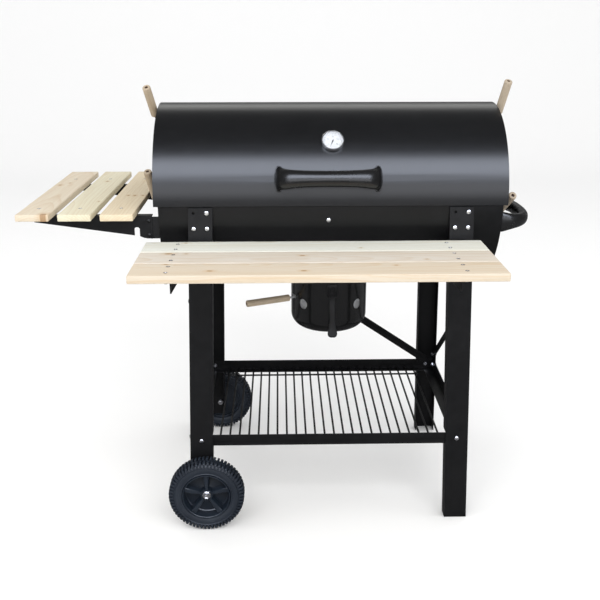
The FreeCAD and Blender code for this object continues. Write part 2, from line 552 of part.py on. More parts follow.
# lid handle
HX, HCX = 112.0, -7.0
hp, hn = on_lid(0, HANDLE_A)
def lid_pt(x, k):
    return tuple(V(x + HCX, 0, 0) + hp + hn * k)
lh = pipe([lid_pt(-HX, 3), lid_pt(-HX + 6, 47), lid_pt(HX - 6, 47), lid_pt(HX, 3)], [30.0, 30.0], 13.0)
hfeet = []
for s in (-1, 1):
    c = V(*lid_pt(s * HX, 0))
    f = Part.makeCone(29.0, 12.0, 20.0, c + hn * 0.2, hn)
    # narrowed along X
    keep = Part.makeBox(16.0, 400, 400, V(HCX + s * HX - 8.0, -400, H - 100))
    hfeet.append(f.common(keep))
lh = fuse(lh, *hfeet).cut(cyl((-600, 0, H), (1, 0, 0), LID_R + 0.3, 1200))
hs = []
for s in (-1, 1):
    for k in (-10.0, 10.0):
        pp, nn = on_lid(HCX + s * HX, HANDLE_A + math.degrees(k / LID_R))
        h = cyl(tuple(pp + hn * 12), tuple(-hn), 2.3, 40)
        lh = lh.cut(cyl(tuple(pp + hn * 10), tuple(-hn), 2.3, 30))
        lid_shell = lid_shell.cut(cyl(tuple(pp + hn * 12), tuple(-hn), 2.5, 40))
        hs.append(fuse(cyl(tuple(pp + hn * 9.5), tuple(-hn), 2.2, 9.5 + SHEET + 0.8), dome_head(tuple(pp - hn * (SHEET + 0.7)), tuple(-hn), 4.6, 2.6)))
node("lid_handle", lh)
node("lid_handle_screws", hs)

# hinges: two at the back on the split line
HZ = H
leaf_d, leaf_l, pins = [], [], []
for xc in (-215.0, 215.0):
    for (x0, x1, up) in ((xc - 30, xc - 10.2, False), (xc - 10.0, xc + 10.0, True), (xc + 10.2, xc + 30, False)):
        k = cyl((x0, HINGE_Y, HZ), (1, 0, 0), 6.5, x1 - x0).cut(cyl((x0 - 1, HINGE_Y, HZ), (1, 0, 0), 3.05, x1 - x0 + 2))
        (leaf_l if up else leaf_d).append((xc, k, x0, x1))
    pins.append(fuse(cyl((xc - 33, HINGE_Y, HZ), (1, 0, 0), 3.0, 66), cyl((xc - 34.5, HINGE_Y, HZ), (1, 0, 0), 5.2, 4.0), cyl((xc + 30.5, HINGE_Y, HZ), (1, 0, 0), 5.2, 4.0)))
node("hinge_pins", pins)
# curved plates on the sheet, following its radius
def plate(xc, half, r0, lo, hi, t=2.0):
    s = cyl((xc - half, 0, H), (1, 0, 0), r0 + t, 2 * half).cut(cyl((xc - half - 1, 0, H), (1, 0, 0), r0, 2 * half + 2))
    a0, a1 = math.radians(lo), math.radians(hi)
    w = prism([(xc - half - 1, 0, H), (xc - half - 1, 300 * math.cos(a0), H + 300 * math.sin(a0)), (xc - half - 1, 300 * math.cos(a1), H + 300 * math.sin(a1))], (2 * half + 2, 0, 0))
    return s.common(w)
hl, hd = [], []
for xc in (-215.0, 215.0):
    pl = plate(xc, 22, LID_R + 0.15, 3.0, 13.0)
    kn = [k for (c, k, a, b) in leaf_l if c == xc]
    arm = box(xc - 10, xc + 10, LID_R - 2.5, HINGE_Y - 3.4, HZ + 4.2, HZ + 13.0).cut(cyl((-600, 0, H), (1, 0, 0), LID_R + 0.15, 1200))
    s = fuse(pl, arm, *kn)
    for dx in (-14, 14):
        pp = V(xc + dx, (LID_R + 2.15) * math.cos(math.radians(9)), H + (LID_R + 2.15) * math.sin(math.radians(9)))
        nn = V(0, math.cos(math.radians(9)), math.sin(math.radians(9)))
        h = cyl(tuple(pp + nn * 8), tuple(-nn), 2.6, 30)
        s = s.cut(h)
        lid_shell = lid_shell.cut(h)
        hs.append(fuse(dome_head(tuple(pp + nn * 0.1), tuple(nn), 4.6, 2.6), cyl(tuple(pp + nn * 0.2), tuple(-nn), 2.3, 8.0), hex_nut(tuple(pp - nn * (2.15 + SHEET + 0.3)), tuple(-nn), 8.0, 3.2)))
    hl.append(s)
    pd = plate(xc, 30, DRUM_R + 0.15, -20.0, -3.5)
    kd = [k for (c, k, a, b) in leaf_d if c == xc]
    arms = [box(a, b, DRUM_R - 4, HINGE_Y - 3.4, HZ - 14.0, HZ - 4.2).cut(cyl((-600, 0, H), (1, 0, 0), DRUM_R + 0.15, 1200)) for (c, k, a, b) in leaf_d if c == xc]
    sd = fuse(pd, *arms, *kd)
    for dx in (-20, 20):
        aa = math.radians(-16)
        pp = V(xc + dx, (DRUM_R + 2.15) * math.cos(aa), H + (DRUM_R + 2.15) * math.sin(aa))
        nn = V(0, math.cos(aa), math.sin(aa))
        h = cyl(tuple(pp + nn * 8), tuple(-nn), 2.6, 30)
        sd = sd.cut(h)
        drum_shell = drum_shell.cut(h)
        bolts.append(fuse(dome_head(tuple(pp + nn * 0.1), tuple(nn), 4.6, 2.6), cyl(tuple(pp + nn * 0.2), tuple(-nn), 2.3, 8.0), hex_nut(tuple(pp - nn * (2.15 + SHEET + 0.3)), tuple(-nn), 8.0, 3.2)))
    hd.append(sd)
node("hinge_leaves_lid", hl)
node("hinge_leaves_drum", hd)
OUT["lid_handle_screws"] = Part.makeCompound([s for x in hs for s in x.Solids])

node("lid_shell", lid_shell)
node("lid_end_left", lid_ends[-1])
node("lid_end_right", lid_ends[1])
node("drum_shell", drum_shell)
node("drum_end_left", drum_ends[-1])
node("drum_end_right", drum_ends[1])
for (sx, sy), s in legs.items():
    node("leg_%s_%s" % ("front" if sy < 0 else "rear", "left" if sx < 0 else "right"), s)

# ---------------------------------------------------------------- lid dampers
def lever_dir(sx, lean, tilt):
    a, t = math.radians(lean), math.radians(tilt)
    return V(sx * math.sin(t), -math.cos(t) * math.sin(a), math.cos(t) * math.cos(a))

def grip(p0, d, r, L):
    """Turned wooden grip on a rod: a dowel with a bored core and eased ends."""
    g = Part.makeCylinder(r, L, p0, d)
    g = g.makeChamfer(1.4, [e for e in g.Edges if e.Curve.TypeId == 'Part::GeomCircle'])
    return g.cut(Part.makeCylinder(2.6, L - 10.0, p0 - d * 1.0, d))

for sx, lean, nm in ((-1, VENT_L, "left"), (1, VENT_R, "right")):
    xo = sx * (LID_L / 2 + 0.35)
    ax = (sx, 0, 0)
    disc = cyl((xo, 0, VENT_Z), ax, 34.0, 1.5)
    for k in range(3):
        a = math.radians(90 + 60 + 120 * k)
        disc = disc.cut(hole((xo, 21 * math.cos(a), VENT_Z + 21 * math.sin(a)), (1, 0, 0), 9.0, 10))
    boss = cyl((xo, 0, VENT_Z), ax, 7.5, 10.5)
    stud = cyl((sx * (LID_L / 2 - SHEET - 8.0), 0, VENT_Z), ax, 3.0, 12.0)
    cap = cyl((sx * (LID_L / 2 - SHEET - 0.4), 0, VENT_Z), (-sx, 0, 0), 6.5, 3.0)
    p0 = V(xo + sx * 7.0, 0, VENT_Z)
    d = lever_dir(sx, lean, 7.0)
    r_ = Part.makeCylinder(2.4, 34.0 + 70.0, p0, d)
    node("lid_damper_" + nm, fuse(disc, boss, stud, cap, r_))
    g = grip(p0 + d * 34.0, d, 9.5, 86.0)
    node("lid_damper_grip_" + nm, g)

# ---------------------------------------------------------------- charcoal grate cranks and grates
HZG = LEVER_Z + 8.2
for sx, lean, nm in ((-1, LEV_L, "left"), (1, LEV_R, "right")):
    beta = math.radians(lean - 42.0)
    xo = sx * (DRUM_L / 2)
    xin = sx * (DRUM_L / 2 - 15.0)
    shaft = rod((sx * (LID_L / 2 + 7.0), 0, LEVER_Z), (xin - sx * 2.0, 0, LEVER_Z), 5.0)
    wash = [cyl((sx * (DRUM_L / 2 + 0.4), 0, LEVER_Z), (sx, 0, 0), 10.0, 2.0), cyl((sx * (DRUM_L / 2 - SHEET - 0.4), 0, LEVER_Z), (-sx, 0, 0), 10.0, 2.0)]
    py, pz = GRATE_ARM * math.cos(beta), LEVER_Z + GRATE_ARM * math.sin(beta)
    arm = rod((xin, 0, LEVER_Z), (xin, py, pz), 4.5)
    knee = Part.makeSphere(4.5, V(xin, py, pz))
    pin = rod((xin, py, pz), (sx * 338.0, py, pz), 4.0)
    p0 = V(sx * (LID_L / 2 + 4.5), 0, LEVER_Z)
    d = lever_dir(sx, lean, 7.0)
    r_ = Part.makeCylinder(3.0, 96.0 + 70.0, p0, d)
    node("grate_crank_" + nm, fuse(shaft, arm, knee, pin, r_, *wash))
    g = Part.makeCylinder(9.5, 86.0, p0 + d * 96.0, d)
    g = g.makeChamfer(1.4, [e for e in g.Edges if e.Curve.TypeId == 'Part::GeomCircle'])
    g = g.cut(Part.makeCylinder(3.2, 76.0, p0 + d * 95.0, d))
    node("grate_crank_grip_" + nm, g)
    # grate: rods along X between two end bars, hung at the inner bar and lifted at the outer bar
    xi_, xo_ = 10.0, 366.0
    parts = [rod((xi_, -150, HZG), (xi_, 150, HZG), 3.0), rod((xo_ - 18.0, -150, HZG), (xo_ - 18.0, 150, HZG), 3.0), rod((190, -150, HZG), (190, 150, HZG), 2.5)]
    for k in range(17):
        y = -144 + 18.0 * k
        parts.append(rod((xi_, y, HZG + 0.4), (xo_ - 10.0, y, HZG + 0.4), 2.5))
    g = fuse(*parts)
    if sx < 0:
        g = mirror_x(g)
    rise = math.degrees(math.asin(GRATE_ARM * math.sin(beta) / (xo_ - 18.0 - xi_)))
    g = turn(g, (sx * xi_, 0, HZG), (0, 1, 0), -sx * rise)
    node("charcoal_grate_" + nm, g)
    # cooking grate: bars along Y in a frame, resting on the ledges
    z = H - 24.0 + 3.15
    xa, xb = 5.0, 382.0
    parts = [rod((xa + 3, -193, z), (xa + 3, 193, z), 3.0), rod((xb - 3, -193, z), (xb - 3, 193, z), 3.0)]
    for y in (-190, 0, 190):
        parts.append(rod((xa, y, z), (xb, y, z), 3.0))
    n_b = 24
    for k in range(1, n_b):
        x = xa + 3 + (xb - xa - 6) * k / n_b
        parts.append(rod((x, -193, z + 1.0), (x, 193, z + 1.0), 2.0))
    g = fuse(*parts)
    if sx < 0:
        g = mirror_x(g)
    node("cooking_grate_" + nm, g)

# ---------------------------------------------------------------- ash bucket with damper ring
def revolve(pts, c):
    w = Part.makePolygon([V(x, 0, z) for x, z in pts] + [V(pts[0][0], 0, pts[0][1])])
    s = Part.Face(w).revolve(V(0, 0, 0), V(0, 0, 1), 360)
    return move(s, (c, 0, 0))
R, T, Z0, Z1, FR = BUCKET_R, 1.5, BUCKET_Z0, BUCKET_Z1, 34.0
outer = cyl((BUCKET_X, 0, Z0), (0, 0, 1), R, Z1 - Z0)
outer = outer.makeFillet(FR, [e for e in outer.Edges if abs(e.BoundBox.ZMax - Z0) < 1e-3 and e.BoundBox.XLength > 10])
inner = cyl((BUCKET_X, 0, Z0 + T), (0, 0, 1), R - T, Z1 - Z0)
inner = inner.makeFillet(FR - T, [e for e in inner.Edges if abs(e.BoundBox.ZMax - Z0 - T) < 1e-3 and e.BoundBox.XLength > 10])
bucket = outer.cut(inner)
rimring = cyl((BUCKET_X, 0, Z1 - 3.0), (0, 0, 1), R + 2.2, 3.0).cut(cyl((BUCKET_X, 0, Z1 - 4), (0, 0, 1), R - 0.5, 5))
bucket = fuse(bucket, rimring)
HOLE_Z = 505.0
for k in range(4):
    a = math.radians(45 + 90 * k)
    bucket = bucket.cut(cyl((BUCKET_X + 60 * math.cos(a), 60 * math.sin(a), HOLE_Z), (math.cos(a), math.sin(a), 0), 13.0, 60))
def sector(a0, a1, z0, z1, r0, r1):
    s = cyl((BUCKET_X, 0, z0), (0, 0, 1), r1, z1 - z0).cut(cyl((BUCKET_X, 0, z0 - 1), (0, 0, 1), r0, z1 - z0 + 2))
    n = 6
    pts = [(BUCKET_X, 0, z0 - 1)] + [(BUCKET_X + 200 * math.cos(math.radians(a0 + (a1 - a0) * i / n)), 200 * math.sin(math.radians(a0 + (a1 - a0) * i / n)), z0 - 1) for i in range(n + 1)]
    return s.common(prism(pts, (0, 0, z1 - z0 + 2)))
LVA, LVZ = 204.0, 515.0
bucket = bucket.cut(sector(LVA - 28.5, LVA + 3.5, LVZ - 5.0, LVZ + 5.0, R - 10, R + 10))
RR = R - T - 0.8
ringd = cyl((BUCKET_X, 0, 486), (0, 0, 1), RR, 46.0).cut(cyl((BUCKET_X, 0, 480), (0, 0, 1), RR - 1.5, 60))
for k in range(4):
    a = math.radians(45 + 90 * k + 25)
    ringd = ringd.cut(cyl((BUCKET_X + 60 * math.cos(a), 60 * math.sin(a), HOLE_Z), (math.cos(a), math.sin(a), 0), 13.0, 60))
la = math.radians(LVA)
ld = V(math.cos(la), math.sin(la), 0)
lr = Part.makeCylinder(2.6, 122.0, V(BUCKET_X, 0, LVZ) + ld * (RR - 1.4), ld)
node("damper_ring", fuse(ringd, lr))
g = Part.makeCylinder(8.5, 116.0, V(BUCKET_X, 0, LVZ) + ld * 113.0, ld)
g = g.makeChamfer(1.2, [e for e in g.Edges if e.Curve.TypeId == 'Part::GeomCircle'])
g = g.cut(Part.makeCylinder(2.8, 104.5, V(BUCKET_X, 0, LVZ) + ld * 112.0, ld))
node("damper_grip", g)
# pull strap on the bucket's front
bx = BUCKET_X + 3.0
yf = -math.sqrt(R * R - 9.0) - 0.3
strap = prism([(bx - 7.5, yf, 560), (bx - 7.5, yf, 520), (bx - 7.5, yf - 28, 452), (bx - 7.5, yf - 31, 452), (bx - 7.5, yf - 3, 521), (bx - 7.5, yf - 3, 560)], (15, 0, 0))
padp = box(bx - 13, bx + 13, yf - 3, yf, 531, 564)
end_ = cyl((bx, yf - 24.5, 452), (0, -0.924, -0.382), 12.5, 5.0)
strap = fuse(strap, padp, end_)
strap = strap.cut(cyl((BUCKET_X, 0, 400), (0, 0, 1), R + 0.15, 200))
riv = []
for z in (541.0, 556.0):
    h = cyl((bx, yf - 12, z), (0, 1, 0), 2.2, 30)
    strap = strap.cut(h)
    bucket = bucket.cut(h)
    riv.append(fuse(dome_head((bx, yf - 3.1, z), (0, -1, 0), 4.4, 2.4), cyl((bx, yf - 3.0, z), (0, 1, 0), 2.0, 6.0), cyl((bx, yf + 2.1, z), (0, 1, 0), 4.0, 1.2)))
node("bucket_strap", [strap] + riv)
node("ash_bucket", bucket)

node("frame_bolts", bolts)

# ---------------------------------------------------------------- write
bb = FreeCAD.BoundBox()
for name, s in OUT.items():
    s = s.copy()
    s.translate(SHIFT)
    OUT[name] = s
    bb.add(s.BoundBox)
    s.exportStep("parts/%s.step" % name)
print(len(OUT), "nodes; box", [round(v, 3) for v in (bb.XMin, bb.XMax, bb.YMin, bb.YMax, bb.ZMin, bb.ZMax)])
for name, s in OUT.items():
    if not s.isValid() or not s.Solids:
        print("INVALID", name, s.isValid(), len(s.Solids))
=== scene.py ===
import bpy, math, json, random
from mathutils import Vector, Matrix


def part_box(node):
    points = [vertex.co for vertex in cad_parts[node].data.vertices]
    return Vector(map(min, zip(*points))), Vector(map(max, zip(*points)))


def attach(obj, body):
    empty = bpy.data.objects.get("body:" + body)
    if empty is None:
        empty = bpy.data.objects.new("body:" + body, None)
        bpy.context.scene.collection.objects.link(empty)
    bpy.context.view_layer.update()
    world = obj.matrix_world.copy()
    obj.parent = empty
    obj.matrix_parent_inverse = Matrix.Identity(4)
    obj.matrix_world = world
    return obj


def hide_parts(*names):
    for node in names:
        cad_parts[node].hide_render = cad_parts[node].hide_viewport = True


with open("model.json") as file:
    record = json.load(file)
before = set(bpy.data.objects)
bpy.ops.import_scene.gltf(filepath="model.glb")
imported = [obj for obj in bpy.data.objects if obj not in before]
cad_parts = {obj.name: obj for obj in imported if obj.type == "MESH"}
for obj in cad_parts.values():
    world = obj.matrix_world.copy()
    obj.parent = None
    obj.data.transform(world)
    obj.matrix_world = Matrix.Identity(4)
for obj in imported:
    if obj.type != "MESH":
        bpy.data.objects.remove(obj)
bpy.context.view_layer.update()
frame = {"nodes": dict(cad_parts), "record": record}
NODES = frame["nodes"]

# ---------------------------------------------------------------- places
# drum-centred millimetres (X along the drum, Y front to back, Z up) to the row frame in metres
_lo, _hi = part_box("lid_shell")
_dl, _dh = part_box("drum_shell")
OX, OY = (_lo.x + _hi.x) / 2, (_dl.y + _dh.y) / 2
SPLIT = _dh.z + 0.001                      # height of the split line and the drum axis


def W(x, y, z):
    return Vector((x / 1000 + OX, y / 1000 + OY, z / 1000))


# ---------------------------------------------------------------- camera
cam_d = bpy.data.cameras.new("camera")
cam = bpy.data.objects.new("camera", cam_d)
bpy.context.scene.collection.objects.link(cam)
cam.location = (-0.00545, -2.0202, 1.1929)
cam.rotation_euler = (math.pi / 2 - 0.3185, 0, -0.024)
cam_d.sensor_width, cam_d.sensor_height, cam_d.lens = 36.0, 36.0, 51.47
cam_d.clip_start, cam_d.clip_end = 0.05, 60
bpy.context.scene.camera = cam
bpy.context.scene.view_settings.view_transform = "Standard"
bpy.context.scene.view_settings.look = "None"


# ---------------------------------------------------------------- material kit
class G:
    """Small helper that builds a node graph around one Principled shader."""

    def __init__(self, name):
        self.m = bpy.data.materials.new(name)
        self.m.use_nodes = True
        self.t = self.m.node_tree
        self.t.nodes.clear()
        self.out = self.n("ShaderNodeOutputMaterial")
        self.b = self.n("ShaderNodeBsdfPrincipled")
        self.l(self.b.outputs[0], self.out.inputs[0])
        self.co = self.n("ShaderNodeTexCoord").outputs["Object"]

    def n(self, kind, **kw):
        x = self.t.nodes.new(kind)
        for k, v in kw.items():
            setattr(x, k, v)
        return x

    def l(self, a, b):
        self.t.links.new(a, b)

    def put(self, sock, v):
        if isinstance(v, bpy.types.NodeSocket):
            self.l(v, sock)
        elif v is not None:
            sock.default_value = v

    def map(self, vec, loc=(0, 0, 0), scale=(1, 1, 1), rot=(0, 0, 0)):
        x = self.n("ShaderNodeMapping")
        self.put(x.inputs["Vector"], vec)
        x.inputs["Location"].default_value = loc
        x.inputs["Rotation"].default_value = rot
        x.inputs["Scale"].default_value = scale
        return x.outputs[0]

    def noise(self, vec, scale=5.0, detail=3.0, rough=0.5, dist=0.0, col=False):
        x = self.n("ShaderNodeTexNoise")
        self.put(x.inputs["Vector"], vec)
        x.inputs["Scale"].default_value = scale
        x.inputs["Detail"].default_value = detail
        x.inputs["Roughness"].default_value = rough
        x.inputs["Distortion"].default_value = dist
        return x.outputs["Color"] if col else x.outputs["Fac"]

    def voronoi(self, vec, scale, feature="F1", rand=1.0):
        x = self.n("ShaderNodeTexVoronoi", feature=feature)
        self.put(x.inputs["Vector"], vec)
        x.inputs["Scale"].default_value = scale
        x.inputs["Randomness"].default_value = rand
        return x.outputs["Distance"]

    def math(self, op, a, b=None, c=None, clamp=False):
        x = self.n("ShaderNodeMath", operation=op, use_clamp=clamp)
        self.put(x.inputs[0], a)
        if b is not None:
            self.put(x.inputs[1], b)
        if c is not None:
            self.put(x.inputs[2], c)
        return x.outputs[0]

    def vmath(self, op, a, b=None):
        x = self.n("ShaderNodeVectorMath", operation=op)
        self.put(x.inputs[0], a)
        if b is not None:
            self.put(x.inputs[1], b)
        return x.outputs["Value"] if op in ("LENGTH", "DISTANCE", "DOT_PRODUCT") else x.outputs[0]

    def ramp(self, fac, stops, interp="LINEAR"):
        x = self.n("ShaderNodeValToRGB")
        x.color_ramp.interpolation = interp
        e = x.color_ramp.elements
        while len(e) < len(stops):
            e.new(0.5)
        for k, (p, c) in enumerate(stops):
            e[k].position = p
            c = (c, c, c) if isinstance(c, (int, float)) else c
            e[k].color = (c[0], c[1], c[2], 1.0)
        self.put(x.inputs[0], fac)
        return x.outputs[0]

    def mix(self, fac, a, b, mode="MIX"):
        x = self.n("ShaderNodeMix", data_type="RGBA", blend_type=mode)
        self.put(x.inputs[0], fac)
        for s, v in ((x.inputs[6], a), (x.inputs[7], b)):
            if isinstance(v, tuple) and len(v) == 3:
                v = (*v, 1.0)
            self.put(s, v)
        return x.outputs[2]

    def rng(self, v, a, b, c, d, smooth=False):
        x = self.n("ShaderNodeMapRange", interpolation_type="SMOOTHSTEP" if smooth else "LINEAR")
        self.put(x.inputs[0], v)
        for k, q in enumerate((a, b, c, d)):
            x.inputs[k + 1].default_value = q
        return x.outputs[0]

    def xyz(self, vec):
        x = self.n("ShaderNodeSeparateXYZ")
        self.put(x.inputs[0], vec)
        return x.outputs[0], x.outputs[1], x.outputs[2]

    def comb(self, x_, y_, z_):
        x = self.n("ShaderNodeCombineXYZ")
        for k, q in enumerate((x_, y_, z_)):
            self.put(x.inputs[k], q)
        return x.outputs[0]

    def bump(self, h, dist, strength=1.0, normal=None):
        x = self.n("ShaderNodeBump")
        x.inputs["Strength"].default_value = strength
        x.inputs["Distance"].default_value = dist
        self.put(x.inputs["Height"], h)
        if normal is not None:
            self.l(normal, x.inputs["Normal"])
        return x.outputs[0]

    def set(self, **kw):
        names = {"color": "Base Color", "rough": "Roughness", "metal": "Metallic", "normal": "Normal", "spec": "Specular IOR Level",
                 "coat": "Coat Weight", "coat_rough": "Coat Roughness", "trans": "Transmission Weight", "ior": "IOR", "alpha": "Alpha",
                 "aniso": "Anisotropic", "sheen": "Sheen Weight", "sheen_rough": "Sheen Roughness"}
        for k, v in kw.items():
            s = self.b.inputs[names[k]]
            if k == "color" and isinstance(v, tuple) and len(v) == 3:
                v = (*v, 1.0)
            self.put(s, v)
        return self.m


def paint(name, lo, hi, r0, r1, spec=0.5, peel=0.00003, peel_scale=900.0, coat=0.0, coat_rough=0.2, dust=0.25, wave=1.6):
    """Sprayed or baked paint: fine orange peel, drifting tone and sheen, a little dust on upward faces."""
    g = G(name)
    big = g.noise(g.co, 7.0, 4.0, 0.55)
    mid = g.noise(g.co, 60.0, 5.0, 0.6)
    fine = g.noise(g.co, peel_scale, 2.0, 0.5)
    col = g.ramp(g.math("ADD", g.math("MULTIPLY", big, 0.7), g.math("MULTIPLY", mid, 0.3)), [(0.35, lo), (0.65, hi)])
    nrm = g.n("ShaderNodeNewGeometry").outputs["Normal"]
    up = g.xyz(nrm)[2]
    speck = g.ramp(g.noise(g.co, 900.0, 4.0, 0.7), [(0.62, 0.0), (0.80, 1.0)])
    film = g.ramp(g.noise(g.map(g.co, scale=(1.0, 1.0, 3.0)), 22.0, 6.0, 0.65), [(0.42, 0.0), (0.75, 1.0)])
    d = g.math("MULTIPLY", g.rng(up, 0.1, 0.95, 0.0, 1.0, True), g.math("ADD", g.math("MULTIPLY", speck, 0.55), g.math("MULTIPLY", film, 0.45)))
    d = g.math("MULTIPLY", d, dust, clamp=True)
    col = g.mix(d, col, (0.10, 0.098, 0.092))
    rough = g.math("ADD", g.rng(mid, 0.3, 0.7, r0, r1), g.math("MULTIPLY", d, 0.35))
    b = g.bump(fine, peel, 0.6)
    b = g.bump(mid, peel * wave, 0.25, b)
    return g.set(color=col, rough=rough, spec=spec, normal=b, coat=coat, coat_rough=coat_rough)


def plastic(name, lo, hi, r0, r1, grain=0.00004, grain_scale=1600.0, spec=0.5):
    """Moulded plastic: fine eroded texture, slight flow marks and rub marks."""
    g = G(name)
    a = g.noise(g.co, 14.0, 4.0, 0.55, 0.6)
    c = g.voronoi(g.co, grain_scale)
    s = g.noise(g.map(g.co, scale=(1, 1, 6)), 160.0, 5.0, 0.7)
    col = g.ramp(a, [(0.3, lo), (0.7, hi)])
    rub = g.ramp(s, [(0.62, 0.0), (0.80, 1.0)])
    col = g.mix(g.math("MULTIPLY", rub, 0.18), col, tuple(min(1.0, v * 2.2 + 0.01) for v in hi))
    b = g.bump(c, grain, 0.5)
    return g.set(color=col, rough=g.rng(a, 0.3, 0.7, r0, r1), normal=b, spec=spec)


def metal(name, lo, hi, r0, r1, streak=(1, 1, 1), scale=120.0, bump=0.00002):
    g = G(name)
    a = g.noise(g.map(g.co, scale=streak), scale, 6.0, 0.65)
    b = g.noise(g.co, 22.0, 4.0, 0.6)
    col = g.ramp(g.math("ADD", g.math("MULTIPLY", a, 0.5), g.math("MULTIPLY", b, 0.5)), [(0.35, lo), (0.65, hi)])
    return g.set(color=col, metal=1.0, rough=g.rng(a, 0.3, 0.7, r0, r1), normal=g.bump(a, bump, 0.5))


def wood(name, order, centre, pith, ring=0.0042, knots=(), seed=0.0, light=(0.80, 0.69, 0.51), mid=(0.72, 0.56, 0.35), dark=(0.50, 0.33, 0.17), contrast=1.0, tint=(1, 1, 1), rough=(0.5, 0.68), taper=0.02):
    """A board cut from a log. order gives the length, width and thickness axes; pith is (across, deep) from the board's centre to the log's heart.
    Rings are distances from the heart, so the faces show cathedral grain and the ends show arcs. knots are (along, across, size)."""
    g = G(name)
    loc = g.map(g.co, loc=tuple(-c for c in centre))
    p = g.xyz(loc)
    u, v, w = p[order[0]], p[order[1]], p[order[2]]
    su = g.math("ADD", u, seed * 3.17 + 11.0)
    slow = g.noise(g.comb(g.math("MULTIPLY", su, 1.6), seed * 1.3, 0.4), 1.0, 2.0, 0.5)
    slow2 = g.noise(g.comb(g.math("MULTIPLY", su, 2.3), 7.7 + seed, 3.1), 1.0, 2.0, 0.5)
    dv = g.math("ADD", g.math("SUBTRACT", v, pith[0]), g.math("MULTIPLY", g.math("SUBTRACT", slow, 0.5), 0.035))
    dw = g.math("ADD", g.math("SUBTRACT", w, pith[1]), g.math("ADD", g.math("MULTIPLY", g.math("SUBTRACT", slow2, 0.5), 0.045), g.math("MULTIPLY", u, taper)))
    r = g.math("SQRT", g.math("ADD", g.math("MULTIPLY", dv, dv), g.math("MULTIPLY", dw, dw)))
    wob = g.noise(g.comb(g.math("MULTIPLY", su, 6.0), g.math("MULTIPLY", v, 40.0), g.math("MULTIPLY", w, 40.0)), 1.0, 3.0, 0.55)
    r = g.math("ADD", r, g.math("MULTIPLY", g.math("SUBTRACT", wob, 0.5), 0.0028))
    kn = None
    for (ku, kv, ks) in knots:
        du = g.math("DIVIDE", g.math("SUBTRACT", u, ku), 1.7)
        dk = g.math("SQRT", g.math("ADD", g.math("MULTIPLY", du, du), g.math("MULTIPLY", g.math("SUBTRACT", v, kv), g.math("SUBTRACT", v, kv))))
        f = g.rng(dk, ks * 0.6, ks * 5.0, 1.0, 0.0, True)
        r = g.math("ADD", r, g.math("MULTIPLY", f, ks * 0.75))
        k = g.math("DIVIDE", dk, ks)
        kn = k if kn is None else g.math("MINIMUM", kn, k)
    wide = g.noise(g.comb(g.math("MULTIPLY", r, 60.0), seed, 0.0), 1.0, 1.0, 0.5)
    ph = g.math("FRACT", g.math("ADD", g.math("DIVIDE", r, ring), g.math("MULTIPLY", wide, 3.0)))
    late = g.ramp(ph, [(0.0, 0.0), (0.45, 0.10), (0.80, 0.55), (0.92, 1.0), (1.0, 0.05)])
    fib = g.noise(g.comb(g.math("MULTIPLY", su, 14.0), g.math("MULTIPLY", v, 1500.0), g.math("MULTIPLY", w, 1500.0)), 1.0, 3.0, 0.6)
    strk = g.noise(g.comb(g.math("MULTIPLY", su, 3.0), g.math("MULTIPLY", v, 160.0), g.math("MULTIPLY", w, 160.0)), 1.0, 4.0, 0.6)
    broad = g.noise(g.comb(g.math("MULTIPLY", su, 1.2), g.math("MULTIPLY", v, 22.0), seed * 2.0), 1.0, 3.0, 0.5)
    col = g.mix(g.math("MULTIPLY", late, 0.62 * contrast), light, mid)
    col = g.mix(g.ramp(strk, [(0.45, 0.0), (0.75, 0.45 * contrast)]), col, mid)
    col = g.mix(g.ramp(fib, [(0.5, 0.0), (0.8, 0.30 * contrast)]), col, dark)
    col = g.mix(g.ramp(broad, [(0.40, 0.0), (0.70, 0.35)]), col, (light[0] * 1.04, light[1] * 1.05, light[2] * 1.10))
    if kn is not None:
        kc = g.ramp(g.math("ADD", kn, g.math("MULTIPLY", g.math("SUBTRACT", wob, 0.5), 0.5)), [(0.0, (0.16, 0.075, 0.03)), (0.40, (0.30, 0.15, 0.065)), (0.72, (0.20, 0.095, 0.04)), (1.0, (0.50, 0.31, 0.15))])
        col = g.mix(g.rng(kn, 0.75, 1.25, 1.0, 0.0, True), col, kc)
        halo = g.rng(kn, 1.0, 3.2, 0.45, 0.0, True)
        col = g.mix(halo, col, (mid[0] * 0.95, mid[1] * 0.88, mid[2] * 0.75))
    if tint != (1, 1, 1):
        col = g.mix(1.0, col, tint, "MULTIPLY")
    h = g.math("ADD", g.math("MULTIPLY", late, 0.5), g.math("MULTIPLY", fib, 0.5))
    return g.set(color=col, rough=g.rng(fib, 0.3, 0.7, rough[0], rough[1]), normal=g.bump(h, 0.00022, 0.7), spec=0.35)


